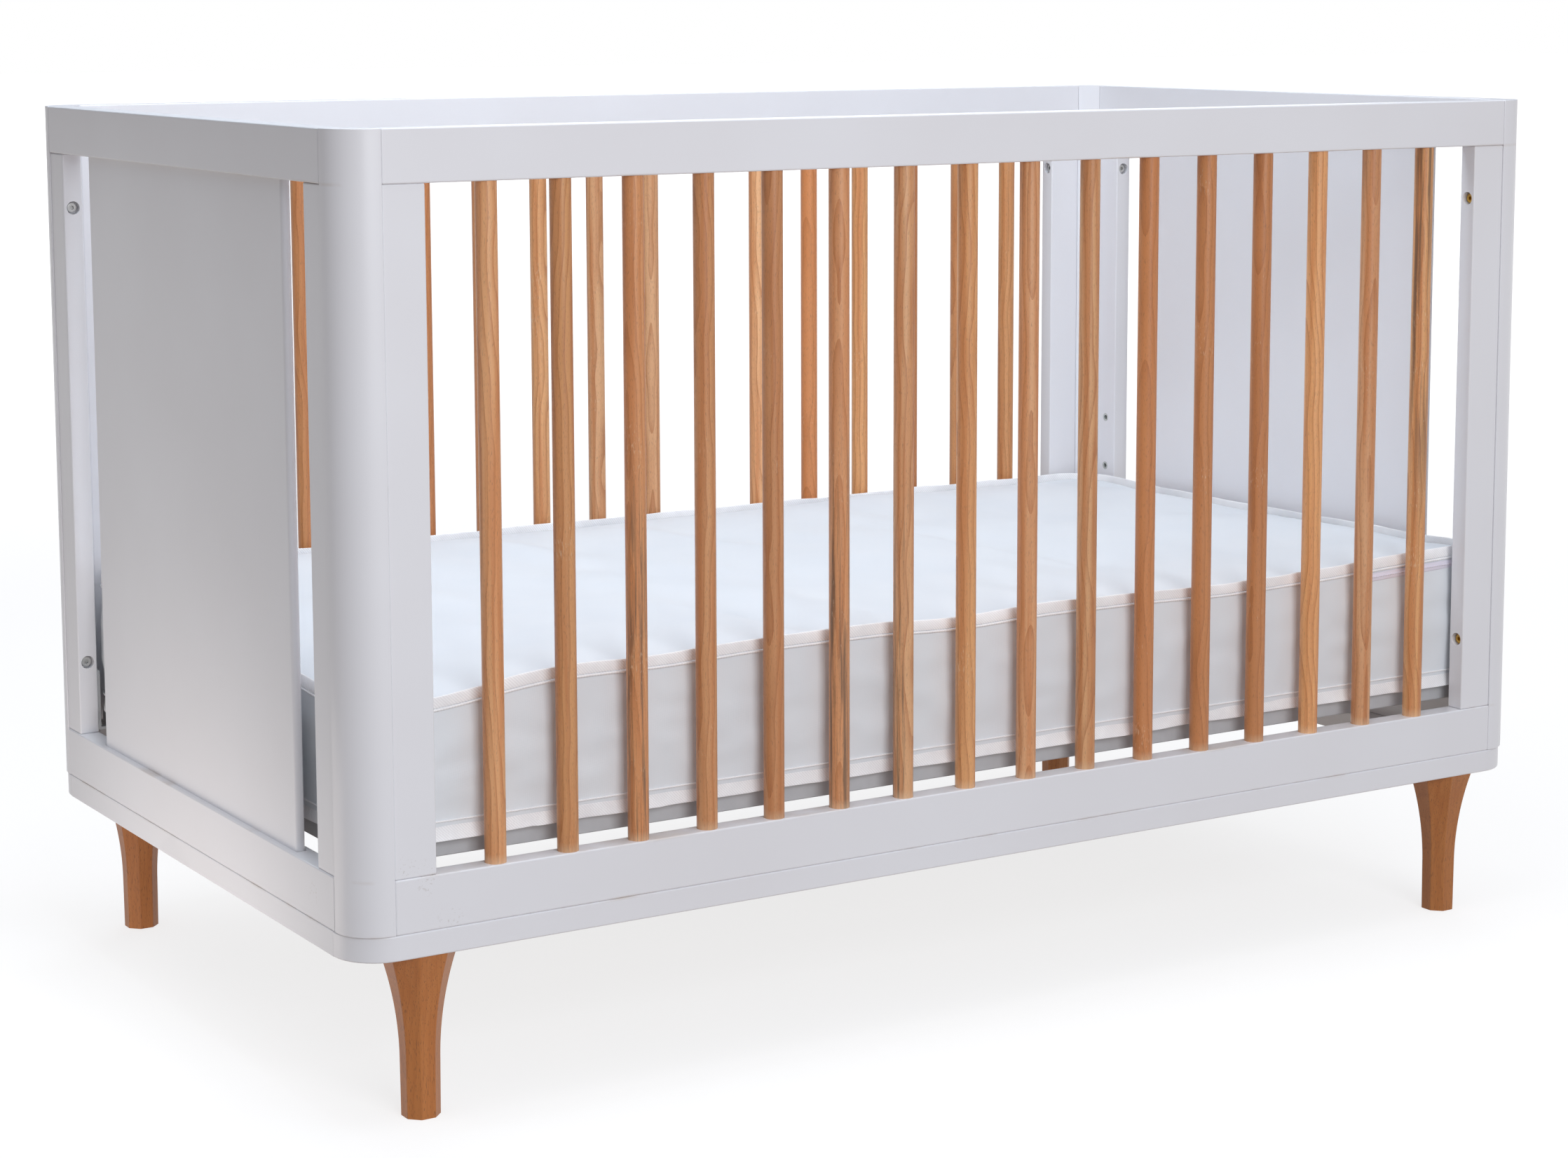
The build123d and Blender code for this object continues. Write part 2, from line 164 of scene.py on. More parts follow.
@dataclass(frozen=True)
class Finish:
    """A plain finish of one colour and gloss, which the finishes below add their detail to."""

    name: str
    colour: str
    roughness: float

    def material(self) -> bpy.types.Material:
        """Makes the material: a shader of the base colour and gloss, and the finish's detail on it."""
        made = bpy.data.materials.new(self.name)
        made.use_nodes = True
        tree = made.node_tree
        place = add(tree, "TexCoord").outputs["Object"]
        detail = self.draw(tree, place)
        plain = {"Base Color": self.colour, "Roughness": self.roughness}
        feed(tree, tree.nodes["Principled BSDF"], plain | detail)
        return made

    def draw(self, tree: bpy.types.NodeTree, place: bpy.types.NodeSocket) -> dict[str, object]:
        """Draws the finish's detail; a plain finish has none.

        Args:
            tree: the material's node tree.
            place: the object's own coordinates, in metres.
        Returns:
            What inputs of the shader take.
        """
        return {}


@dataclass(frozen=True)
class SprayedLacquer(Finish):
    """White polyurethane lacquer sprayed on sanded hardwood and panel.

    It gives the eye a cool satin white with the faint dimpling of a sprayed film, a little cloudiness,
    and small chips and rubs where the piece is knocked.
    """

    cloud: str = "#E6E4E6"
    gloss_spread: float = 0.05
    dimple: float = 2.5 * MM
    chip: str = "#B9AFA8"
    chip_strength: float = 0.30
    chip_depth: float = 14.0
    chip_reach: float = 15 * MM
    chipped: tuple[tuple[float, float, float], ...] = ()
    rub: str = "#C9B7A6"
    rub_strength: float = 0.5
    rub_heights: tuple[float, ...] = ()

    def draw(self, tree: bpy.types.NodeTree, place: bpy.types.NodeSocket) -> dict[str, object]:
        """Adds clouds of tone, rubs along the rails' edges, chips near the named places and dimpling."""
        cloud = add(tree, "TexNoise", {"Vector": place, "Scale": 4.0, "Detail": 3.0})
        colour = add(tree, "Mix", {0: cloud, 6: self.colour, 7: self.cloud}, data_type="RGBA")
        # A rub is a brownish line where the height is within a millimetre or two of a rail's edge and
        # a long noise is high.
        height = add(tree, "SeparateXYZ", {0: place}).outputs["Z"]
        often = add(tree, "TexNoise", {"Vector": place, "Scale": 11.0, "Detail": 6.0})
        often = {"Value": often, "From Min": 0.54, "From Max": 0.68, "To Max": self.rub_strength}
        often = add(tree, "MapRange", often)
        for level in self.rub_heights:
            away = add(tree, "Math", {0: height, 1: level}, operation="SUBTRACT")
            away = add(tree, "Math", {0: away}, operation="ABSOLUTE")
            near = add(tree, "MapRange", {"Value": away, "From Min": 2.2 * MM, "From Max": 0.4 * MM})
            rubbed = add(tree, "Math", {0: near, 1: often}, operation="MULTIPLY")
            colour = add(tree, "Mix", {0: rubbed, 6: colour, 7: self.rub}, data_type="RGBA")
        # A chip is a flake of a fine noise, sunk a little, within reach of a knocked place.
        knocked = 0.0
        for spot in self.chipped:
            away = add(tree, "VectorMath", {0: place, 1: spot}, operation="DISTANCE")
            near = {"Value": away, "From Min": self.chip_reach, "From Max": 0.35 * self.chip_reach}
            near = add(tree, "MapRange", near)
            knocked = add(tree, "Math", {0: knocked, 1: near}, operation="MAXIMUM")
        flake = add(tree, "TexNoise", {"Vector": place, "Scale": 330.0, "Detail": 2.0})
        flake = add(tree, "MapRange", {"Value": flake, "From Min": 0.62, "From Max": 0.66})
        chipped = add(tree, "Math", {0: knocked, 1: flake}, operation="MULTIPLY")
        faint = add(tree, "Math", {0: chipped, 1: self.chip_strength}, operation="MULTIPLY")
        colour = add(tree, "Mix", {0: faint, 6: colour, 7: self.chip}, data_type="RGBA")
        grit = add(tree, "TexNoise", {"Vector": place, "Scale": 260.0, "Detail": 4.0, "Roughness": 0.7})
        rise = add(tree, "Math", {0: chipped, 1: -self.chip_depth, 2: grit}, operation="MULTIPLY_ADD")
        film = add(tree, "TexNoise", {"Vector": place, "Scale": 1 / self.dimple, "Detail": 1.0})
        film = add(tree, "Bump", {"Height": film, "Strength": 0.05, "Distance": 0.3 * MM})
        gloss = {"To Min": self.roughness - self.gloss_spread, "To Max": self.roughness + self.gloss_spread}
        relief = {"Height": rise, "Strength": 0.12, "Distance": 0.05 * MM, "Normal": film}
        return {
            "Base Color": colour,
            "Roughness": add(tree, "MapRange", {"Value": cloud, **gloss}),
            "Normal": add(tree, "Bump", relief),
            "Coat Weight": 0.25,
            "Coat Roughness": 0.28,
        }


@dataclass(frozen=True)
class ClearedTimber(Finish):
    """Hardwood rods under a thin clear wash: growth rings, pores and streaks, different in each rod.

    The rings are cylinders about a pith that lies off each rod's axis and leans, so a rod shows long
    arches on one side and straight lines on another, as a turned rod does. Fibres, bands, lines and
    specks are noises drawn out with the grain, each given as cycles to a metre across the rod and
    along it. A streaked rod is its number, counted from the middle, the height where its streaks are
    gone and the one where they are full. A worn height below the floor leaves the foot unworn.
    """

    late: str = "#AF6A39"
    red: str = "#C9814D"
    pale: str = "#E4B488"
    streak: str = "#5E4A3A"
    fleck: str = "#E7CBAA"
    spacing: float = 72.1 * MM
    rod_plane: float = 369 * MM
    pith_across: tuple[float, float] = (-60 * MM, 30 * MM)
    pith_deep: float = 45 * MM
    pith_lean: float = 0.030
    drift: float = 17 * MM
    ring: float = 6.0 * MM
    ring_depth: float = 0.55
    ring_tones: tuple[tuple[float, str], ...] = (
        (0.0, "#000000"), (0.40, "#4A4A4A"), (0.72, "#B4B4B4"), (0.94, "#FFFFFF"), (1.0, "#000000")
    )
    fibres: tuple[float, float] = (420.0, 9.0)
    bands: tuple[float, float] = (150.0, 3.0)
    lines: tuple[float, float] = (170.0, 4.5)
    specks: tuple[float, float] = (900.0, 170.0)
    streaked_rods: tuple[tuple[float, float, float], ...] = ()
    pore_length: float = 5 * MM
    pore_width: float = 0.55 * MM
    pore_depth: float = 0.35
    flecks: float = 1.0
    worn_height: float = 225 * MM
    worn_reach: float = 9 * MM
    brightness: tuple[float, float] = (0.86, 1.16)

    def grain(
        self,
        tree: bpy.types.NodeTree,
        own: bpy.types.Node,
        cycles: tuple[float, float],
        detail: float,
        rough: float = 0.5,
    ) -> bpy.types.Node:
        """Adds a noise drawn out along the rod, as its place is multiplied before the noise is read.

        Args:
            tree: the material's node tree.
            own: the rod's own space.
            cycles: cycles to a metre across the rod and along it.
            detail: how many finer layers the noise has.
            rough: how strong the finer layers are.
        Returns:
            The noise.
        """
        drawn = add(tree, "VectorMath", {0: own, 1: (cycles[0], *cycles)}, operation="MULTIPLY")
        return add(tree, "TexNoise", {"Vector": drawn, "Scale": 1.0, "Detail": detail, "Roughness": rough})

    def draw(self, tree: bpy.types.NodeTree, place: bpy.types.NodeSocket) -> dict[str, object]:
        """Adds the rings, streaks, pores, pale flecks and a worn foot, seeded by each rod's place."""
        axis = add(tree, "SeparateXYZ", {0: place}).outputs
        step = add(tree, "Math", {0: axis["X"], 1: self.spacing}, operation="DIVIDE")
        step = add(tree, "Math", {0: step}, operation="FLOOR")
        side = add(tree, "Math", {0: axis["Y"]}, operation="SIGN")
        key = add(tree, "CombineXYZ", {"X": step, "Y": side, "Z": self.ring * 1000})
        draws = add(tree, "TexWhiteNoise", {"Vector": key}, noise_dimensions="3D").outputs["Color"]
        chance = add(tree, "SeparateXYZ", {0: draws}).outputs
        # The rod's own space: its draws move it far away in the noises, so no two rods are alike.
        away = add(tree, "VectorMath", {0: draws, 1: (9.0, 9.0, 9.0)}, operation="MULTIPLY")
        own = add(tree, "VectorMath", {0: place, 1: away}, operation="ADD")
        # The rings: how many fit in the distance from the pith, which leans and drifts on its way up.
        across = add(tree, "Math", {0: step, 1: -self.spacing, 2: axis["X"]}, operation="MULTIPLY_ADD")
        drift = add(tree, "VectorMath", {0: own, 1: (6.0, 6.0, 3.2)}, operation="MULTIPLY")
        drift = add(tree, "TexNoise", {"Vector": drift, "Scale": 1.6, "Detail": 2.0})
        drift = add(tree, "MapRange", {"Value": drift, "To Min": -self.drift, "To Max": self.drift})
        lean = {"Value": chance["Z"], "To Min": -self.pith_lean, "To Max": self.pith_lean}
        lean = add(tree, "MapRange", lean)
        leaning = add(tree, "Math", {0: axis["Z"], 1: lean, 2: drift}, operation="MULTIPLY_ADD")
        pith_x = {"Value": chance["X"], "To Min": self.pith_across[0], "To Max": self.pith_across[1]}
        pith_x = add(tree, "MapRange", pith_x)
        pith_y = {"Value": chance["Y"], "To Min": -self.pith_deep, "To Max": self.pith_deep}
        pith_y = add(tree, "MapRange", pith_y)
        from_x = add(tree, "Math", {0: across, 1: pith_x}, operation="SUBTRACT")
        from_y = add(tree, "Math", {0: axis["Y"], 1: pith_y}, operation="ADD")
        from_y = add(tree, "Math", {0: side, 1: -self.rod_plane, 2: from_y}, operation="MULTIPLY_ADD")
        flat = add(tree, "CombineXYZ", {"X": from_x, "Y": from_y})
        radius = add(tree, "VectorMath", {0: flat}, operation="LENGTH")
        radius = add(tree, "Math", {0: radius, 1: leaning}, operation="ADD")
        count = add(tree, "Math", {0: radius, 1: self.ring}, operation="DIVIDE")
        phase = add(tree, "Math", {0: count}, operation="FRACT")
        rings = add(tree, "ValToRGB", {"Fac": phase}, stops=self.ring_tones)
        fibre = self.grain(tree, own, self.fibres, 5.0, 0.6)
        ringed = add(tree, "Math", {0: rings, 1: fibre}, operation="MULTIPLY")
        ringed = add(tree, "Math", {0: ringed, 1: 2 * self.ring_depth}, operation="MULTIPLY")
        # Some rods are paler, and all have warmer bands.
        light = add(tree, "MapRange", {"Value": chance["X"], "From Min": 0.45, "To Max": 0.75})
        warm = self.grain(tree, own, self.bands, 4.0)
        warm = add(tree, "MapRange", {"Value": warm, "From Min": 0.42, "From Max": 0.62, "To Max": 0.75})
        # Mineral streaks: dark lines where a drawn-out noise peaks, on the front side of the streaked
        # rods and between their two heights.
        front = add(tree, "Math", {0: axis["Y"], 1: 0.0}, operation="LESS_THAN")
        rich = 0.0
        for rod, gone, full in self.streaked_rods:
            chosen = add(tree, "Math", {0: step, 1: rod, 2: 0.1}, operation="COMPARE")
            within = {"Value": axis["Z"], "From Min": gone, "From Max": full, "To Max": front}
            within = add(tree, "MapRange", within)
            chosen = add(tree, "Math", {0: within, 1: chosen}, operation="MULTIPLY")
            rich = add(tree, "Math", {0: rich, 1: chosen}, operation="MAXIMUM")
        line = self.grain(tree, own, self.lines, 6.0, 0.65)
        line = add(tree, "MapRange", {"Value": line, "From Min": 0.49, "From Max": 0.61, "To Max": 0.78})
        streaked = add(tree, "Math", {0: line, 1: rich}, operation="MULTIPLY")
        # Pores: short dark dashes along the rod.
        pore = self.grain(tree, own, (1 / self.pore_width, 1 / self.pore_length), 1.0)
        pore = {"Value": pore, "From Min": 0.60, "From Max": 0.72, "To Max": self.pore_depth}
        pore = add(tree, "MapRange", pore)
        # The wash left pale flecks in the grain, and is worn at the foot of the rod.
        patch = add(tree, "TexNoise", {"Vector": own, "Scale": 12.0, "Detail": 2.0})
        fleck = self.grain(tree, own, self.specks, 3.0)
        fleck = add(tree, "Math", {0: fleck, 1: patch}, operation="MULTIPLY")
        fleck = {"Value": fleck, "From Min": 0.39, "From Max": 0.48, "To Max": 0.45 * self.flecks}
        fleck = add(tree, "MapRange", fleck)
        foot = {"From Min": self.worn_height + self.worn_reach, "From Max": self.worn_height}
        foot = add(tree, "MapRange", {"Value": axis["Z"], **foot, "To Max": 0.8 * self.flecks})
        foot = add(tree, "Math", {0: foot, 1: fibre}, operation="MULTIPLY")
        worn = add(tree, "Math", {0: fleck, 1: foot}, operation="MAXIMUM")
        # The tones lie over one another in this order, each by its own share.
        colour = self.colour
        shares = (chance["Y"], light, warm, ringed, streaked, pore, worn)
        tones = (self.red, self.pale, self.red, self.late, self.streak, self.streak, self.fleck)
        for share, tone in zip(shares, tones):
            colour = add(tree, "Mix", {0: share, 6: colour, 7: tone}, data_type="RGBA")
        value = {"Value": chance["Z"], "To Min": self.brightness[0], "To Max": self.brightness[1]}
        value = add(tree, "MapRange", value)
        return {
            "Base Color": add(tree, "HueSaturation", {"Value": value, "Color": colour}),
            "Normal": add(tree, "Bump", {"Height": fibre, "Strength": 0.25, "Distance": 0.12 * MM}),
        }


@dataclass(frozen=True)
class WovenCloth(Finish):
    """Close woven polyester: matt, with a fine thread pattern and a soft bloom of fibre ends.

    The thread is drawn coarser than the real third of a millimetre, so that it shows at all.
    """

    thread: float = 1.1 * MM
    painted_shade: str = "#D0CED2"
    relief: float = 0.2

    def draw(self, tree: bpy.types.NodeTree, place: bpy.types.NodeSocket) -> dict[str, object]:
        """Adds crossing threads as relief, and slow clouds of shade as in cloth that lies unevenly."""
        cloud = add(tree, "TexNoise", {"Vector": place, "Scale": 9.0, "Detail": 4.0})
        cloud = add(tree, "MapRange", {"Value": cloud, "From Min": 0.3, "From Max": 0.75, "To Max": 0.5})
        turns = add(tree, "VectorMath", {0: place, 1: (math.tau / self.thread,) * 3}, operation="MULTIPLY")
        weave = 0.0
        for turn in add(tree, "SeparateXYZ", {0: turns}).outputs:
            wave = add(tree, "Math", {0: turn}, operation="SINE")
            weave = add(tree, "Math", {0: weave, 1: wave}, operation="ADD")
        return {
            "Base Color": add(tree, "Mix", {0: cloud, 6: self.colour, 7: self.painted_shade}, data_type="RGBA"),
            "Normal": add(tree, "Bump", {"Height": weave, "Strength": self.relief, "Distance": 0.06 * MM}),
            "Sheen Weight": 0.15,
            "Sheen Roughness": 0.5,
        }


@dataclass(frozen=True)
class BraidedTape(Finish):
    """Flat braided polyester tape, with slanting ribs along it that its own UV map carries."""

    rib: float = 2.8 * MM
    painted_shade: str = "#F2F1F2"

    def draw(self, tree: bpy.types.NodeTree, place: bpy.types.NodeSocket) -> dict[str, object]:
        """Adds slanting ribs, from the sine of metres along plus metres across: as relief, and as painted
        shade that darkens the ribs' valleys.
        """
        way = add(tree, "SeparateXYZ", {0: add(tree, "UVMap", uv_map="tape")}).outputs
        turn = math.tau / self.rib
        along = add(tree, "Math", {0: way["X"], 1: turn}, operation="MULTIPLY")
        slanted = add(tree, "Math", {0: way["Y"], 1: 0.9 * turn, 2: along}, operation="MULTIPLY_ADD")
        braid = add(tree, "Math", {0: slanted}, operation="SINE")
        grain = add(tree, "TexNoise", {"Vector": place, "Scale": 60.0, "Detail": 3.0})
        # The colour darkens in the ribs' valleys by the same sine as the relief, which is painted shade; the
        # fine noise adds real tone.
        tone = add(tree, "Math", {0: braid, 1: 0.22, 2: grain}, operation="MULTIPLY_ADD")
        tone = add(tree, "MapRange", {"Value": tone, "From Min": 0.35, "From Max": 0.8})
        return {
            "Base Color": add(tree, "Mix", {0: tone, 6: self.painted_shade, 7: self.colour}, data_type="RGBA"),
            "Normal": add(tree, "Bump", {"Height": braid, "Strength": 0.28, "Distance": 0.2 * MM}),
            "Sheen Weight": 0.2,
        }


@dataclass(frozen=True)
class PaintedBoard(Finish):
    """Light grey paint rolled on a fibreboard base, with a soft mottle from the roller."""

    mottle: str = "#B5B5B6"

    def draw(self, tree: bpy.types.NodeTree, place: bpy.types.NodeSocket) -> dict[str, object]:
        """Adds the mottle as tone and as a little relief."""
        grain = add(tree, "TexNoise", {"Vector": place, "Scale": 45.0, "Detail": 5.0})
        return {
            "Base Color": add(tree, "Mix", {0: grain, 6: self.colour, 7: self.mottle}, data_type="RGBA"),
            "Normal": add(tree, "Bump", {"Height": grain, "Strength": 0.15, "Distance": 0.3 * MM}),
        }


@dataclass(frozen=True)
class PlatedSteel(Finish):
    """Zinc plating, dull and slightly cloudy, so that it is drawn as only partly metal.

    The bolts beyond the given place at the front are yellow chromated, the rest are blue-white zinc.
    """

    metal: float = 0.3
    dull: str = "#BDBEBE"
    chromate: str = "#C79A3C"
    chromate_from: tuple[float, float] | None = None

    def draw(self, tree: bpy.types.NodeTree, place: bpy.types.NodeSocket) -> dict[str, object]:
        """Adds the plating's clouds to the tone and the gloss, and the yellow where it is asked for."""
        grain = add(tree, "TexNoise", {"Vector": place, "Scale": 420.0, "Detail": 3.0})
        colour = add(tree, "Mix", {0: grain, 6: self.colour, 7: self.dull}, data_type="RGBA")
        if self.chromate_from is not None:
            axis = add(tree, "SeparateXYZ", {0: place}).outputs
            right = add(tree, "Math", {0: axis["X"], 1: self.chromate_from[0]}, operation="GREATER_THAN")
            front = add(tree, "Math", {0: axis["Y"], 1: self.chromate_from[1]}, operation="LESS_THAN")
            both = add(tree, "Math", {0: right, 1: front}, operation="MULTIPLY")
            colour = add(tree, "Mix", {0: both, 6: colour, 7: self.chromate}, data_type="RGBA")
        gloss = {"Value": grain, "To Min": self.roughness - 0.1, "To Max": self.roughness + 0.15}
        return {
            "Base Color": colour,
            "Roughness": add(tree, "MapRange", gloss),
            "Metallic": self.metal,
        }


@dataclass(frozen=True)
class GlowingPaper(Finish):
    """Matt white backdrop paper that glows, a little near the crib and fully white far off."""

    glow: tuple[float, float] = (0.74, 1.05)
    reach: tuple[float, float] = (2.0, 7.0)

    def draw(self, tree: bpy.types.NodeTree, place: bpy.types.NodeSocket) -> dict[str, object]:
        """Adds the glow, which grows smoothly with the distance from the crib."""
        away = add(tree, "VectorMath", {0: place}, operation="LENGTH")
        glow = {"Value": away, "From Min": self.reach[0], "From Max": self.reach[1]}
        glow |= {"To Min": self.glow[0], "To Max": self.glow[1]}
        return {
            "Specular IOR Level": 0.0,
            "Emission Color": "#FFFFFF",
            "Emission Strength": add(tree, "MapRange", glow, interpolation_type="SMOOTHSTEP"),
        }


# -------------------------------------------------------------------------------------- surfaces


def slow_noise(across: np.ndarray, along: np.ndarray, cell: float, seed: int) -> np.ndarray:
    """Smooth random values over a plane, between minus one and one.

    Random values stand at the corners of square cells, and between them the value is eased from corner
    to corner with the weight t * t * (3 - 2t) both ways.

    Args:
        across: first coordinate of each point.
        along: second coordinate of each point.
        cell: side of a cell, in the coordinates' own unit.
        seed: picks the random values.
    Returns:
        One value for each point.
    """
    cells = 64
    lattice = np.random.default_rng(seed).uniform(-1, 1, (cells, cells))
    u, v = across / cell, along / cell
    low_u, low_v = np.floor(u).astype(int), np.floor(v).astype(int)
    part_u, part_v = u - low_u, v - low_v
    ease_u, ease_v = part_u * part_u * (3 - 2 * part_u), part_v * part_v * (3 - 2 * part_v)
    left, right = low_u % cells, (low_u + 1) % cells
    near, far = low_v % cells, (low_v + 1) % cells
    here = lattice[left, near] * (1 - ease_u) + lattice[right, near] * ease_u
    there = lattice[left, far] * (1 - ease_u) + lattice[right, far] * ease_u
    return here * (1 - ease_v) + there * ease_v


def squared(wave: np.ndarray, power: float) -> np.ndarray:
    """Squares off a sine or cosine: its size is raised to a power below one, and its sign stays."""
    return np.sign(wave) * np.abs(wave) ** power


def ways_round(loop: np.ndarray) -> np.ndarray:
    """Lengths along a closed path: the sum of the steps up to each point, and the whole at the end."""
    steps = np.linalg.norm(np.diff(loop, axis=0, append=loop[:1]), axis=1)
    return np.concatenate([[0.0], np.cumsum(steps)])


def around(count: int) -> np.ndarray:
    """Evenly spaced angles of a full turn, without the last one, which would repeat the first."""
    return np.linspace(0, math.tau, count + 1)[:-1]


def new_mesh(name: str, points: np.ndarray, faces: np.ndarray) -> bpy.types.Object:
    """Makes a smooth mesh object from arrays.

    Args:
        name: the piece's name.
        points: one row of x, y, z in metres for each vertex.
        faces: one row of four vertex numbers for each face, counterclockwise from outside.
    Returns:
        The object, at the origin and in the scene.
    """
    mesh = bpy.data.meshes.new(name)
    mesh.from_pydata(points.tolist(), [], faces.tolist())
    mesh.polygons.foreach_set("use_smooth", np.ones(len(faces), bool))
    mesh.update()
    made = bpy.data.objects.new(name, mesh)
    bpy.context.scene.collection.objects.link(made)
    return made


def grid_faces(rows: int, columns: int, closed_rows: bool, closed_columns: bool) -> np.ndarray:
    """Faces of a grid of vertices that are numbered row by row.

    Args:
        rows: number of rows of vertices.
        columns: number of vertices in a row.
        closed_rows: whether the last row joins the first.
        closed_columns: whether a row's last vertex joins its first.
    Returns:
        One row of four vertex numbers for each face.
    """
    row, column = np.meshgrid(
        np.arange(rows if closed_rows else rows - 1),
        np.arange(columns if closed_columns else columns - 1),
        indexing="ij",
    )
    here, below, beside = row * columns, (row + 1) % rows * columns, (column + 1) % columns
    corners = (here + column, here + beside, below + beside, below + column)
    return np.stack(corners, axis=-1).reshape(-1, 4)


def joined(parts: list[tuple[np.ndarray, np.ndarray]]) -> tuple[np.ndarray, np.ndarray]:
    """Puts several parts in one, where each part's faces count on from the points before them.

    Args:
        parts: points and faces of each part.
    Returns:
        All the points and all the faces.
    """
    starts = np.cumsum([0] + [len(points) for points, _ in parts])
    faces = [faces + start for (_, faces), start in zip(parts, starts)]
    return np.concatenate([points for points, _ in parts]), np.concatenate(faces)


def rounded_lump(
    middle: np.ndarray, half: tuple[float, float, float], squareness: float, lean: float
) -> tuple[np.ndarray, np.ndarray]:
    """A closed rounded box, from a sphere whose cosines and sines are raised to a power below one.

    Args:
        middle: its middle.
        half: its half sizes.
        squareness: the power, from near zero, square, to one, round.
        lean: how far it leans to +X for each metre down.
    Returns:
        Points, and faces of four vertex numbers, with the poles' corners still apart.
    """
    meridians, rings = 20, 11
    turn, up = np.meshgrid(around(meridians), np.linspace(-math.pi / 2, math.pi / 2, rings))
    cos_t, sin_t = squared(np.cos(turn), squareness), squared(np.sin(turn), squareness)
    cos_u, sin_u = squared(np.cos(up), squareness), squared(np.sin(up), squareness)
    x, y, z = half[0] * cos_t * cos_u, half[1] * sin_t * cos_u, half[2] * sin_u
    points = np.stack([middle[0] + x - lean * z, middle[1] + y, middle[2] + z], axis=-1).reshape(-1, 3)
    return points, grid_faces(rings, meridians, False, True)


def close_up(piece: bpy.types.Object) -> None:
    """Merges a mesh's doubled corners, fills its open ends and turns its faces outwards."""
    work = bmesh.new()
    work.from_mesh(piece.data)
    bmesh.ops.remove_doubles(work, verts=work.verts, dist=1e-6)
    bmesh.ops.holes_fill(work, edges=[edge for edge in work.edges if edge.is_boundary], sides=0)
    bmesh.ops.recalc_face_normals(work, faces=work.faces)
    work.to_mesh(piece.data)
    work.free()


@dataclass(frozen=True)
class RoundedLoop:
    """A rectangle with round corners about the origin, walked by length from the middle of the front.

    The walk goes to +X along the front, then round the right end, the back and the left end. Its
    centre point is straight from corner centre to corner centre and rests while the heading turns, and
    the loop lies a radius to the outside of it.
    """

    length: float
    width: float
    radius: float

    def total(self) -> float:
        """Length of the whole loop: its straight runs and one full circle."""
        return 2 * (self.length + self.width) - 8 * self.radius + math.tau * self.radius

    def walk(self, way: np.ndarray) -> np.ndarray:
        """Points at the given lengths along the loop.

        Args:
            way: lengths from the middle of the front, in metres.
        Returns:
            The points, each one row of x and y.
        """
        half_x, half_y = self.length / 2 - self.radius, self.width / 2 - self.radius
        turn = self.radius * math.pi / 2
        runs = (half_x, turn, 2 * half_y, turn, 2 * half_x, turn, 2 * half_y, turn, half_x)
        stations = np.concatenate([[0.0], np.cumsum(runs)])
        headings = np.radians([0, 0, 90, 90, 180, 180, 270, 270, 360, 360])
        middle_x = half_x * np.array([0, 1, 1, 1, 1, -1, -1, -1, -1, 0])
        middle_y = half_y * np.array([-1, -1, -1, 1, 1, 1, 1, -1, -1, -1])
        way = np.mod(way, stations[-1])
        heading = np.interp(way, stations, headings)
        outward = np.stack([np.sin(heading), -np.cos(heading)], axis=-1)
        middle = np.stack([np.interp(way, stations, middle_x), np.interp(way, stations, middle_y)], axis=-1)
        return middle + self.radius * outward


def settle_cloth(
    piece: bpy.types.Object, hold: np.ndarray, cap: np.ndarray, pressure: float, growth: float, frames: int
) -> None:
    """Runs a cloth simulation on a mesh and keeps its last shape.

    Args:
        piece: the mesh object.
        hold: how firmly each vertex is held to its place, from 0 to 1.
        cap: farthest that each vertex may move, in metres.
        pressure: push from the inside.
        growth: how much larger the cloth is cut than the shape it covers, as a share.
        frames: number of steps.
    """
    scene = bpy.context.scene
    start = np.empty(3 * len(piece.data.vertices), np.float32)
    piece.data.vertices.foreach_get("co", start)
    group = piece.vertex_groups.new(name="held")
    for level in np.unique(hold):
        group.add(np.flatnonzero(hold == level).tolist(), float(level), "REPLACE")
    cloth = piece.modifiers.new("cloth", "CLOTH")
    rules = cloth.settings
    rules.quality = 6
    rules.mass = 0.25
    rules.tension_stiffness = rules.compression_stiffness = 25
    rules.shear_stiffness = 12
    rules.bending_stiffness = 1.2
    rules.tension_damping = rules.compression_damping = 12
    rules.air_damping = 4
    rules.shrink_min = -growth
    rules.use_pressure = True
    rules.uniform_pressure_force = pressure
    rules.vertex_group_mass = group.name
    rules.pin_stiffness = 1
    rules.effector_weights.gravity = 0
    cloth.collision_settings.use_collision = False
    cloth.point_cache.frame_end = frames
    for frame in range(1, frames + 1):
        scene.frame_set(frame)
    posed = piece.evaluated_get(bpy.context.evaluated_depsgraph_get()).data
    settled = np.empty_like(start)
    posed.vertices.foreach_get("co", settled)
    moved = (settled - start).reshape(-1, 3)
    distance = np.linalg.norm(moved, axis=1, keepdims=True)
    moved *= cap[:, None] / np.maximum(distance + cap[:, None], 1e-9)
    LOG.info("%s: cloth pushed %.1f mm at most", piece.name, distance.max() / MM)
    piece.modifiers.remove(cloth)
    piece.vertex_groups.remove(group)
    piece.data.vertices.foreach_set("co", (start.reshape(-1, 3) + moved).ravel())
    piece.data.update()
    scene.frame_set(1)


# -------------------------------------------------------------------------------------- mattress


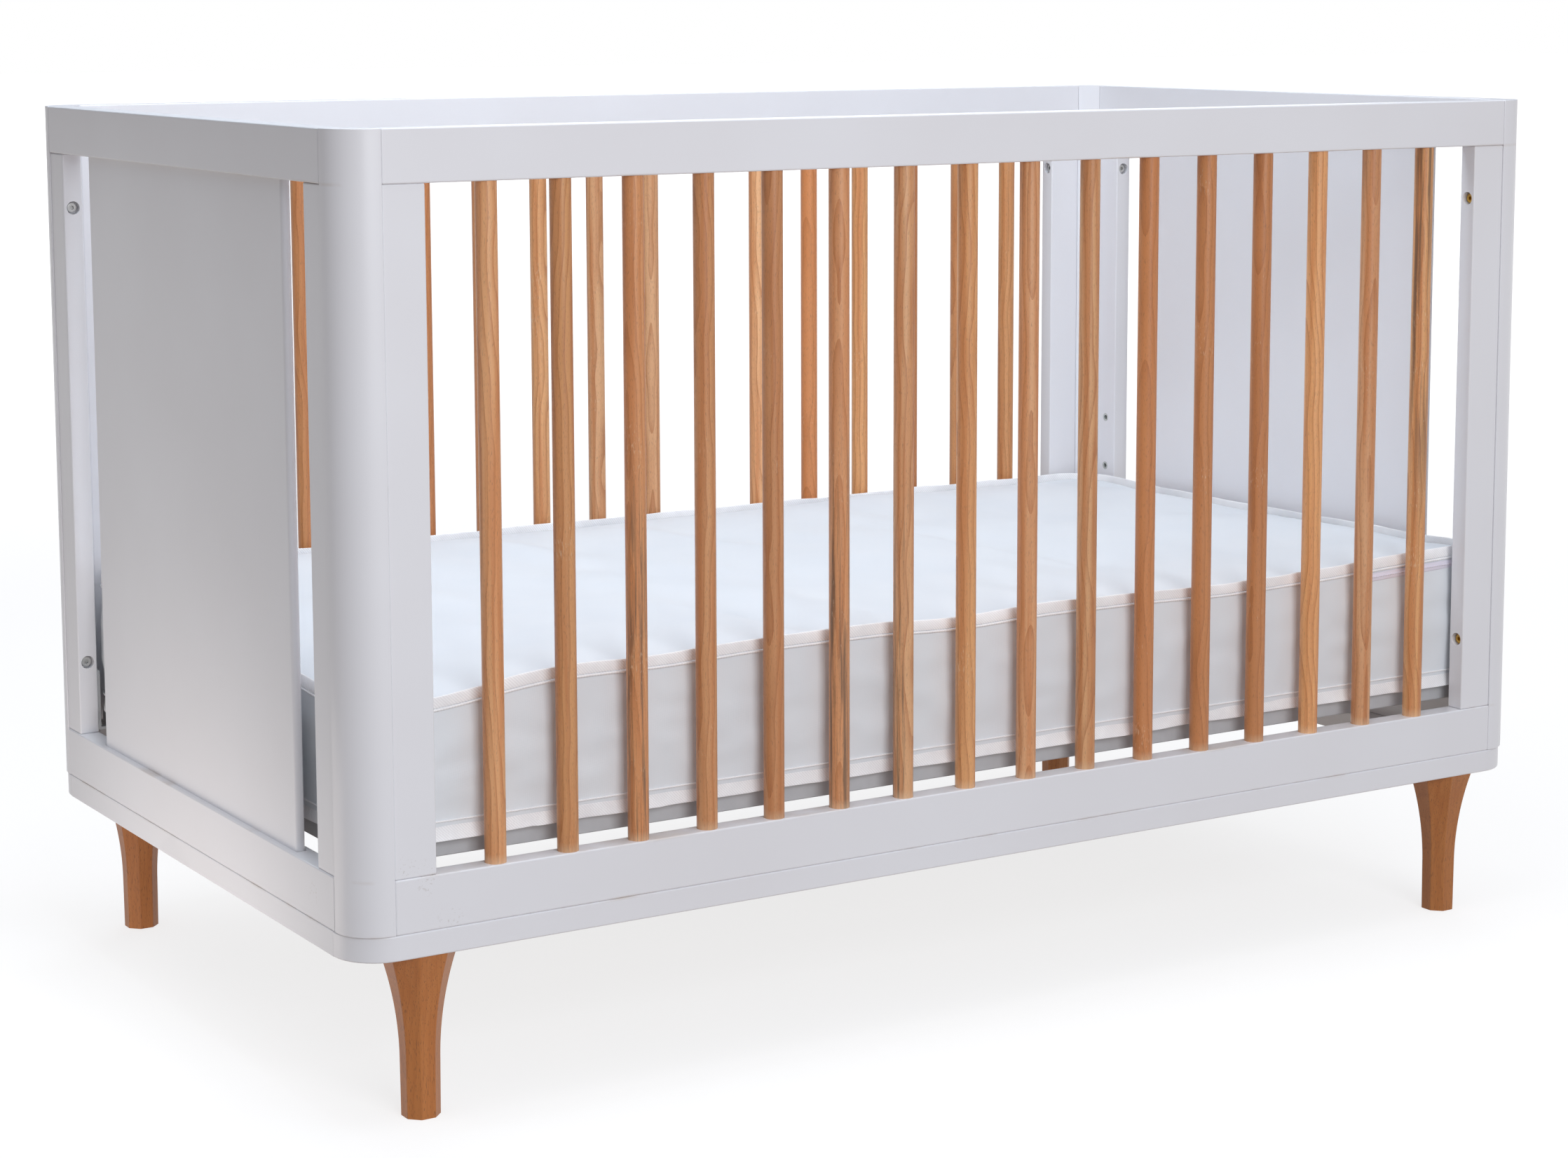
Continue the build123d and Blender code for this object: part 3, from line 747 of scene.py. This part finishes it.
@dataclass
class Mattress:
    """The foam mattress in its sewn cover: padded body, edge tapes and zip.

    A crown, press or lift has faded at its reach. The give is how far the cloth may move as it settles,
    and the seam is how far a tape is sewn on from the edge that it covers.
    """

    cover: Finish = WovenCloth("woven polyester boxing", "#E9EDF0", 0.75, painted_shade="#DFE3E8")
    top: Finish = WovenCloth("smooth woven ticking", "#E2E6EA", 0.8, painted_shade="#D8DFE6", relief=0.1)
    tape: Finish = BraidedTape("braided binding tape", "#FFFFFF", 0.85)
    zip_nylon: Finish = WovenCloth("nylon zip", "#EFEAF4", 0.5, thread=1.8 * MM, painted_shade="#DFD8E8", relief=0.4)
    body: str = "mattress"
    corner: float = 50 * MM
    cell: float = 11 * MM
    crown: float = 5 * MM
    crown_reach: float = 60 * MM
    tape_height: float = 14 * MM
    tape_thick: float = 1.5 * MM
    stand_up: float = 7.5 * MM
    pressed: float = 15 * MM
    pressed_reach: tuple[float, float] = (130 * MM, 250 * MM)
    lifted: float = 7 * MM
    lifted_reach: tuple[float, float] = (160 * MM, 200 * MM)
    wander: float = 2.8 * MM
    long_waves: float = 5.72 * MM
    slant_waves: float = 3.52 * MM
    edge_reach: float = 50 * MM
    sink: float = 2 * MM
    clear: float = 0.3 * MM
    swell: float = 2.5 * MM
    crease: float = 1.3 * MM
    top_give: float = 6 * MM
    side_give: float = 1.6 * MM
    seam: float = 3.5 * MM
    bead: float = 1.3 * MM
    zip_start: float = 15 * MM
    zip_half: float = 4.4 * MM
    zip_tooth: float = 2.4 * MM
    path_step: float = 5 * MM
    low: Vector = field(default_factory=Vector)
    high: Vector = field(default_factory=Vector)

    def __post_init__(self) -> None:
        """Takes the mattress's own corners from the frame."""
        self.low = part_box("mattress_cover")[0]
        self.high = Vector((*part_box("mattress_cover")[1][:2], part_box("mattress_top_panel")[1].z))

    def edge_lift(self, x: np.ndarray, y: np.ndarray) -> np.ndarray:
        """How far the top edge stands above its drawn height, in metres.

        The front left corner is pressed down and the front right one lifts, each fading as the
        bell curve of the distance from that corner, and small slow waves run all along.

        Args:
            x: places along the crib.
            y: places across the crib.
        Returns:
            The lift at each place.
        """
        (dip_x, dip_y), (rise_x, rise_y) = self.pressed_reach, self.lifted_reach
        dip = np.exp(-(((x - self.low.x) / dip_x) ** 2) - ((y - self.low.y) / dip_y) ** 2)
        rise = np.exp(-(((x - self.high.x) / rise_x) ** 2) - ((y - self.low.y) / rise_y) ** 2)
        return -self.pressed * dip + self.lifted * rise + self.wander * slow_noise(x + 3, y + 3, 0.11, 5)

    def outline_grid(self) -> tuple[np.ndarray, np.ndarray, np.ndarray]:
        """Points of a rectangular grid drawn into the rounded outline.

        Inside a corner's square the point at (a, b) from its centre goes to the distance max(a, b) in
        the direction of (a, b), which carries the square's edge to the arc.

        Returns:
            x and y of each grid point, and its distance from the outline.
        """
        length, width = self.high.x - self.low.x, self.high.y - self.low.y
        columns, rows = round(length / self.cell) + 1, round(width / self.cell) + 1
        half_x, half_y = length / 2, width / 2
        x, y = np.meshgrid(np.linspace(-half_x, half_x, columns), np.linspace(-half_y, half_y, rows))
        over_x = np.maximum(np.abs(x) - (half_x - self.corner), 0)
        over_y = np.maximum(np.abs(y) - (half_y - self.corner), 0)
        reach = np.hypot(over_x, over_y)
        ratio = np.where(reach > 0, np.maximum(over_x, over_y) / np.maximum(reach, 1e-9), 1.0)
        inside = np.minimum(self.corner - np.maximum(over_x, over_y), self.corner)
        edge = np.minimum(half_x - np.abs(x), half_y - np.abs(y))
        both = (over_x > 0) & (over_y > 0)
        new_x = np.where(both, np.sign(x) * (half_x - self.corner + over_x * ratio), x)
        new_y = np.where(both, np.sign(y) * (half_y - self.corner + over_y * ratio), y)
        return new_x, new_y, np.where(both, inside, edge)

    def padded_body(self) -> tuple[bpy.types.Object, np.ndarray]:
        """The closed padded body: top, boxing and underside on one mesh, settled as cloth.

        The top rises from its edge by the crown times one minus the exponential of minus the distance
        over the reach, and the boxing swells outward by a parabola between its two seams.

        Returns:
            The body and the points of its top edge, walked counterclockwise.
        """
        x, y, inside = self.outline_grid()
        rows, columns = x.shape
        levels = round((self.high.z - self.low.z) / self.cell)
        lift = self.edge_lift(x, y)
        crown = self.crown * (1 - np.exp(-np.maximum(inside, 0) / self.crown_reach))
        waves = self.long_waves * slow_noise(x + 0.25 * y, 0.30 * y, 0.060, 8)
        waves += self.slant_waves * slow_noise(x + y, y - x, 0.16, 9)
        fade = np.clip(inside / self.edge_reach, 0, 1)
        height = self.high.z - self.stand_up - self.sink + lift + crown + waves * fade
        top = np.stack([x, y, height], axis=-1).reshape(-1, 3)
        base = np.stack([x, y, np.full_like(x, self.low.z + self.clear)], axis=-1).reshape(-1, 3)
        number = np.arange(rows * columns).reshape(rows, columns)
        rim = np.concatenate([number[0, :-1], number[:-1, -1], number[-1, :0:-1], number[:0:-1, 0]])
        share = np.linspace(0, 1, levels + 1)[1:-1, None]
        centre_x = np.clip(top[rim, 0], self.low.x + self.corner, self.high.x - self.corner)
        centre_y = np.clip(top[rim, 1], self.low.y + self.corner, self.high.y - self.corner)
        outward = np.stack([top[rim, 0] - centre_x, top[rim, 1] - centre_y], axis=-1)
        outward /= np.linalg.norm(outward, axis=1, keepdims=True)
        # Upright creases: a noise along the rim that drifts a little with the height.
        way = self.cell * np.arange(len(rim))[None] + 0.02 * share
        crease = self.crease * slow_noise(way, share + 0 * way, 0.045, 31)
        swell = (self.swell + crease) * 4 * share * (1 - share)
        ring_x = top[rim, 0] + outward[:, 0] * swell
        ring_y = top[rim, 1] + outward[:, 1] * swell
        ring_z = top[rim, 2] * (1 - share) + base[rim, 2] * share
        rings = np.stack([ring_x, ring_y, ring_z], axis=-1).reshape(-1, 3)
        points = np.concatenate([top, rings, base])
        bottom_start = len(top) + len(rings)
        loops = [rim]
        loops += [len(top) + level * len(rim) + np.arange(len(rim)) for level in range(levels - 1)]
        loops.append(bottom_start + rim)
        flat = grid_faces(rows, columns, False, False)
        sides = [
            np.stack([upper, lower, np.roll(lower, -1), np.roll(upper, -1)], axis=-1)
            for upper, lower in zip(loops, loops[1:])
        ]
        faces = np.concatenate([flat, *sides, bottom_start + flat[:, ::-1]])
        made = new_mesh("mattress_body", points, faces)
        # Foam holds the boxing close and the top loosely, and the seams hold the cloth at the edges.
        hold = np.concatenate([np.full(len(top), 0.03), np.full(len(rings), 0.25), np.ones(len(base))])
        hold[rim] = 1.0
        from_seam = np.minimum(share, 1 - share) * (self.high.z - self.low.z)
        free = np.clip((from_seam - 1.2 * self.tape_height) / (20 * MM), 0, 1) * np.ones(len(rim))
        gives = [(self.top_give * fade).ravel(), (self.side_give * free).ravel(), np.zeros(len(base))]
        settle_cloth(made, hold, np.concatenate(gives) + 1e-6, pressure=0.3, growth=0.013, frames=18)
        finishes = np.zeros(len(faces), np.int32)
        finishes[: len(flat)] = 1
        made.data.materials.append(self.cover.material())
        made.data.materials.append(self.top.material())
        made.data.polygons.foreach_set("material_index", finishes)
        smooth = made.modifiers.new("smooth", "SUBSURF")
        smooth.levels = smooth.render_levels = 1
        settled = np.empty(3 * len(points))
        made.data.vertices.foreach_get("co", settled)
        return made, settled.reshape(-1, 3)[rim]

    def strip(
        self, edge: np.ndarray, section: np.ndarray, closed: bool = True
    ) -> tuple[np.ndarray, np.ndarray, np.ndarray]:
        """Carries a closed section along an edge of the mattress.

        A point of the section at (out, up) goes to the edge's point plus out times the outward
        direction plus up, so the strip stands upright all the way round.

        Args:
            edge: the path, one row of x, y, z.
            section: for each path point, the section's points as (out, up), or one section for all.
            closed: whether the path joins its end to its start.
        Returns:
            Points, faces and each face corner's metres along and across.
        """
        ahead = np.roll(edge, -1, axis=0) - np.roll(edge, 1, axis=0)
        if not closed:
            ahead[0], ahead[-1] = edge[1] - edge[0], edge[-1] - edge[-2]
        outward = np.stack([ahead[:, 1], -ahead[:, 0]], axis=-1)
        outward /= np.linalg.norm(outward, axis=1, keepdims=True)
        section = np.broadcast_to(section, (len(edge), *section.shape[-2:]))
        points = np.empty((len(edge), section.shape[1], 3))
        points[..., :2] = edge[:, None, :2] + section[..., :1] * outward[:, None, :]
        points[..., 2] = edge[:, None, 2] + section[..., 1]
        faces = grid_faces(len(edge), section.shape[1], closed, True)[:, ::-1]
        along, across = ways_round(edge), ways_round(section[0])
        row, column = np.meshgrid(
            np.arange(len(edge) if closed else len(edge) - 1), np.arange(section.shape[1]), indexing="ij"
        )
        corners = [(row, column), (row, column + 1), (row + 1, column + 1), (row + 1, column)][::-1]
        flat = np.stack([np.stack([along[r], across[c]], axis=-1) for r, c in corners], axis=2)
        return points.reshape(-1, 3), faces, flat.reshape(-1, 2)

    def edge_path(self, rim: np.ndarray, step: float) -> tuple[np.ndarray, np.ndarray]:
        """A closely and evenly spaced path along the body's top edge.

        Args:
            rim: the body's top edge.
            step: distance between path points.
        Returns:
            The path's points and the length along it at each.
        """
        closed = np.concatenate([rim, rim[:1]])
        way = ways_round(rim)
        even = np.linspace(0, way[-1], round(way[-1] / step), endpoint=False)
        path = np.stack([np.interp(even, way, closed[:, axis]) for axis in range(3)], axis=-1)
        kernel = np.hanning(9)[1:-1]
        kernel = kernel / kernel.sum()
        wrapped = np.concatenate([path[-3:], path, path[:3]])
        return np.stack([np.convolve(wrapped[:, axis], kernel, "valid") for axis in range(3)], axis=-1), even

    def tapes(self, rim: np.ndarray) -> bpy.types.Object:
        """Both edge tapes: a folded braid that leans off the seam, with a thin ridge on its other side.

        Args:
            rim: the body's top edge.
        Returns:
            The tapes as one piece.
        """
        path, way = self.edge_path(rim, self.path_step)
        loop = RoundedLoop(self.high.x - self.low.x, self.high.y - self.low.y, self.corner)
        spots = loop.walk(np.linspace(0, loop.total(), len(path), endpoint=False) - loop.total() / 8)
        foot = np.concatenate([spots, np.full((len(spots), 1), self.low.z)], axis=1)
        lean = (1.2 + 1.5 * slow_noise(way, way * 0, 0.05, 21))[:, None] * MM
        wave = 0.7 * MM * slow_noise(way, way * 0 + 7, 0.035, 22)[:, None]
        # The fold's section is a rounded box, from a squared cosine out and a squared sine up, and the
        # ridge's is a round bead. The top fold leans in over the top, the low one out at its foot.
        turn = around(16)
        box_out = 0.5 * self.tape_thick * (1 + squared(np.cos(turn), 0.7))
        box_up = 0.5 * (1 + squared(np.sin(turn), 0.4))
        fold = self.tape_height - self.seam
        turn = around(8)
        bead_out = np.broadcast_to(self.bead * np.cos(turn) + 1.2 * MM, (len(path), 8))
        bead_up = np.broadcast_to(self.bead * np.sin(turn), (len(path), 8))
        top_fold = (
            box_out - 1.3 * lean * box_up**1.5 + 0.4 * MM,
            self.stand_up + fold * (box_up - 1) + wave * box_up,
        )
        low_fold = (
            box_out + 2.0 * lean * (1 - box_up) ** 1.5 - 0.5 * MM,
            (self.tape_height - 1 * MM) * box_up + np.abs(wave) * (1 - box_up) + self.clear,
        )
        sections = (
            (path, top_fold),
            (path, (bead_out, bead_up + self.stand_up - fold - 1.6 * MM)),
            (foot, low_fold),
            (foot, (0.7 * bead_out + 1.0 * MM, 0.7 * bead_up + self.tape_height + self.seam)),
        )
        strips = [self.strip(edge, np.stack(section, axis=-1)) for edge, section in sections]
        made = new_mesh("mattress_edge_tapes", *joined([strip[:2] for strip in strips]))
        layer = made.data.uv_layers.new(name="tape")
        flats = np.concatenate([flat for _, _, flat in strips])
        layer.data.foreach_set("uv", flats.ravel().astype(np.float32))
        made.data.materials.append(self.tape.material())
        return made

    def zip_fastener(self, rim: np.ndarray) -> bpy.types.Object:
        """The zip under the top tape, round the right end: its woven strip, its coil, slider and pull.

        The coil is a round bead whose radius rises and falls with the sine of the length along it.

        Args:
            rim: the body's top edge.
        Returns:
            The zip as one piece.
        """
        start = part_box("mattress_zip")[0].x + self.zip_start
        below = self.stand_up - self.tape_height - 0.5 * MM
        coil_height = below - 4.2 * MM
        turn = around(10)
        box_out = 1.0 * MM * (1 + squared(np.cos(turn), 0.7)) - 0.3 * MM
        box_up = self.zip_half * (squared(np.sin(turn), 0.4) - 1) + below
        wide, _ = self.edge_path(rim, self.path_step)
        wide = wide[wide[:, 0] > start]
        close, way = self.edge_path(rim, 0.5 * MM)
        held = close[:, 0] > start
        close, way = close[held], way[held]
        turn = around(6)
        radius = (0.85 + 0.35 * np.sin(math.tau * way / self.zip_tooth))[:, None] * MM
        coil_out = radius * np.cos(turn) + 1.9 * MM
        coil_up = radius * np.sin(turn) + coil_height
        strips = [
            self.strip(wide, np.stack([box_out, box_up], axis=-1)[None], closed=False),
            self.strip(close, np.stack([coil_out, coil_up], axis=-1), closed=False),
        ]
        head = close[0] + np.array([-1.0 * MM, -2.2 * MM, coil_height])
        tab = head + np.array([1.5 * MM, -1.9 * MM, -9.5 * MM])
        slider = rounded_lump(head, (4.5 * MM, 1.9 * MM, 3.6 * MM), 0.5, 0.0)
        pull = rounded_lump(tab, (1.9 * MM, 0.5 * MM, 8.5 * MM), 0.4, 0.22)
        parts = [*(strip[:2] for strip in strips), slider, pull]
        made = new_mesh("mattress_zip_fastener", *joined(parts))
        close_up(made)
        made.data.materials.append(self.zip_nylon.material())
        return made

    def build(self) -> None:
        """Makes the mattress's pieces and puts each in the frame."""
        pad, rim = self.padded_body()
        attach(pad, self.body)
        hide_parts("mattress_core", "mattress_cover", "mattress_top_panel")
        tapes = self.tapes(rim)
        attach(tapes, self.body)
        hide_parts("mattress_tapes")
        zipper = self.zip_fastener(rim)
        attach(zipper, self.body)
        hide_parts("mattress_zip")
        for piece in (pad, tapes, zipper):
            LOG.info("%s: %d faces", piece.name, len(piece.data.polygons))


# ----------------------------------------------------------------------------------------- crib


@dataclass
class CribWork:
    """The crib's hard pieces, which are the frame's nodes, and the finish that each slot takes."""

    nodes: dict[str, bpy.types.Object]
    finishes: dict[Slot, Finish] = field(default_factory=dict)

    def __post_init__(self) -> None:
        """Works out the places that the finishes need, and sets a finish for each slot."""
        stile_low, stile_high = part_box("front_left_stile")
        rail_low, rail_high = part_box("front_lower_rail")
        top_low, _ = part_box("front_top_rail")
        end_low, end_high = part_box("left_lower_rail")
        right_low, right_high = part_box("front_right_stile")[0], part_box("right_front_stile")[1]
        chips = (
            (stile_low.x + 12 * MM, stile_low.y, rail_high.z + 8 * MM),
            (stile_high.x - 6 * MM, stile_low.y, rail_high.z + 6 * MM),
            (stile_high.x - 10 * MM, rail_low.y, rail_high.z - 6 * MM),
            (stile_high.x + 12 * MM, rail_low.y, rail_low.z + 8 * MM),
            (end_low.x, end_low.y + 45 * MM, end_high.z - 25 * MM),
        )
        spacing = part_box("front_slat_02")[0].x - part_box("front_slat_01")[0].x
        self.finishes = {
            Slot.LACQUER: SprayedLacquer(
                "satin white lacquer",
                "#F1F2F6",
                0.34,
                chipped=chips,
                rub_heights=(rail_high.z, rail_low.z, top_low.z),
            ),
            Slot.SLAT: ClearedTimber(
                "washed rubberwood slat",
                "#E3A870",
                0.36,
                spacing=spacing,
                streaked_rods=((-6, 0.62, 0.48), (-3, 0.62, 0.46), (-2, 0.56, 0.42), (7, 0.40, 0.60)),
                worn_height=rail_high.z,
            ),
            Slot.LEG: ClearedTimber(
                "oiled beech leg",
                "#B9753C",
                0.42,
                late="#9B5725",
                red="#AF6930",
                pale="#C48248",
                streak="#5F3B22",
                fleck="#D8B48C",
                spacing=1.0,
                ring=4.5 * MM,
                ring_depth=0.3,
                pore_depth=0.6,
                pore_length=6 * MM,
                pore_width=0.7 * MM,
                flecks=0.1,
                worn_height=-0.1,
            ),
            Slot.RAW: ClearedTimber(
                "raw beech", "#CDA77E", 0.7, late="#B98D62", red="#C79C70", spacing=50 * MM
            ),
            Slot.FOAM: Finish("polyurethane foam", "#EDE6C8", 0.95),
            Slot.BOARD: PaintedBoard("painted base board", "#CBCBCC", 0.6),
            Slot.BRACKET: PlatedSteel("zinc-plated bracket", "#C3C5C6", 0.4),
            Slot.BOLT: PlatedSteel(
                "zinc-plated bolt", "#D0D0CC", 0.35, chromate_from=(right_low.x, right_high.y)
            ),
            Slot.INSERT: PlatedSteel("die-cast insert", "#CDD0CD", 0.4, metal=0.15, dull="#B7BAB7"),
        }

    def dress(self) -> None:
        """Gives every node the finish of its slot."""
        made = {slot: finish.material() for slot, finish in self.finishes.items()}
        for name, node in self.nodes.items():
            for place in node.material_slots:
                slot = Slot(place.material.name.split(".")[0])
                if slot in made:
                    place.material = made[slot]
            LOG.info("%s dressed", name)


# --------------------------------------------------------------------------------------- studio


@dataclass(frozen=True)
class Softbox:
    """A square lamp with a soft front, which isn't seen itself: where it hangs and what it faces."""

    name: str
    place: tuple[float, float, float]
    aim: tuple[float, float, float]
    watts: float
    side: float
    tint: str

    def hang(self) -> None:
        """Hangs the lamp at its place, turned to its aim."""
        data = bpy.data.lights.new(self.name, "AREA")
        data.energy = self.watts
        data.color = linear(self.tint)[:3]
        data.shape, data.size = "SQUARE", self.side
        lamp = bpy.data.objects.new(self.name, data)
        way = (Vector(self.aim) - Vector(self.place)).to_track_quat("-Z", "Y").to_matrix().to_4x4()
        lamp.matrix_world = Matrix.Translation(self.place) @ way
        lamp.visible_camera = False
        bpy.context.scene.collection.objects.link(lamp)


@dataclass(frozen=True)
class Studio:
    """A white paper floor, soft light from all round and a camera at standing height."""

    camera_place: tuple[float, float, float] = (-1.766, -2.831, 0.977)
    heading: float = 32.01
    tilt: float = -7.53
    roll: float = -0.13
    lens: float = 73.22
    shift: tuple[float, float] = (-0.0079, -0.10)
    floor_size: float = 80.0
    paper: Finish = GlowingPaper("white paper", "#9A9A9A", 0.9)
    sky_tones: tuple[tuple[float, str], ...] = (
        (0.0, "#A89A91"), (0.49, "#928984"), (0.52, "#8E8F94"), (0.8, "#ADB5C3"), (1.0, "#E2EAF7")
    )
    left_light: float = 0.60
    softboxes: tuple[Softbox, ...] = (
        Softbox("overhead_softbox", (-0.35, -0.35, 2.6), (-0.05, -0.15, 0.4), 11.5, 1.1, "#F8F8FC"),
        Softbox("front_softbox", (-0.6, -4.4, 1.9), (0.0, 0.0, 0.4), 90.0, 2.4, "#F7FAFF"),
        Softbox("inner_softbox", (-0.55, 0.0, 2.0), (0.66, 0.0, 0.65), 8.5, 0.5, "#DCEEFC"),
        Softbox("floor_bounce", (-0.92, 0.0, 0.02), (-0.68, 0.05, 0.12), 1.0, 0.5, "#FFF7F2"),
        Softbox("back_softbox", (2.6, 3.6, 2.4), (0.0, 0.0, 0.4), 26.0, 2.4, "#F7F9FF"),
    )

    def camera(self) -> None:
        """Sets the camera: turned by its heading from +Y towards +X, then tilted, then rolled."""
        data = bpy.data.cameras.new("camera")
        data.lens = self.lens
        data.sensor_width = 36.0
        data.shift_x, data.shift_y = self.shift
        data.clip_end = 200.0
        camera = bpy.data.objects.new("camera", data)
        turn = Matrix.Rotation(math.radians(-self.heading), 4, "Z")
        tilt = Matrix.Rotation(math.radians(90 + self.tilt), 4, "X")
        roll = Matrix.Rotation(math.radians(self.roll), 4, "Z")
        camera.matrix_world = Matrix.Translation(self.camera_place) @ turn @ tilt @ roll
        bpy.context.scene.collection.objects.link(camera)
        bpy.context.scene.camera = camera

    def floor(self) -> None:
        """Lays the floor, a flat grid of backdrop paper that throws no soft light up at the crib."""
        side = np.linspace(-self.floor_size / 2, self.floor_size / 2, 9)
        x, y = np.meshgrid(side, side)
        points = np.stack([x, y, np.zeros_like(x)], axis=-1).reshape(-1, 3)
        made = new_mesh("paper_floor", points, grid_faces(len(side), len(side), False, False))
        made.data.materials.append(self.paper.material())
        made.visible_diffuse = False

    def sky(self) -> None:
        """Sets a soft light from all round, cooler and brighter overhead and weaker from the left end."""
        world = bpy.data.worlds.new("studio")
        bpy.context.scene.world = world
        world.use_nodes = True
        tree = world.node_tree
        tree.nodes.clear()
        way = add(tree, "SeparateXYZ", {0: add(tree, "TexCoord").outputs["Generated"]}).outputs
        height = add(tree, "MapRange", {"Value": way["Z"], "From Min": -1.0})
        tone = add(tree, "ValToRGB", {"Fac": height}, stops=self.sky_tones)
        side = {"Value": way["X"], "From Min": -1.0, "From Max": 0.1, "To Min": self.left_light}
        side = add(tree, "MapRange", side)
        soft = add(tree, "Background", {"Color": tone, "Strength": side})
        white = add(tree, "Background", {"Color": "#FFFFFF"})
        seen = add(tree, "LightPath").outputs["Is Camera Ray"]
        mixed = add(tree, "MixShader", {0: seen, 1: soft, 2: white})
        add(tree, "OutputWorld", {"Surface": mixed})

    def build(self) -> None:
        """Sets up the whole studio."""
        bpy.context.scene.view_settings.view_transform = "Standard"
        self.camera()
        self.floor()
        self.sky()
        for softbox in self.softboxes:
            softbox.hang()


def main() -> None:
    """Builds the studio and every piece in order."""
    logging.basicConfig(level=logging.INFO, format="%(name)s: %(message)s")
    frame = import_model()
    Studio().build()
    LOG.info("studio ready")
    CribWork(frame["nodes"]).dress()
    Mattress().build()


if __name__ == "__main__":
    main()
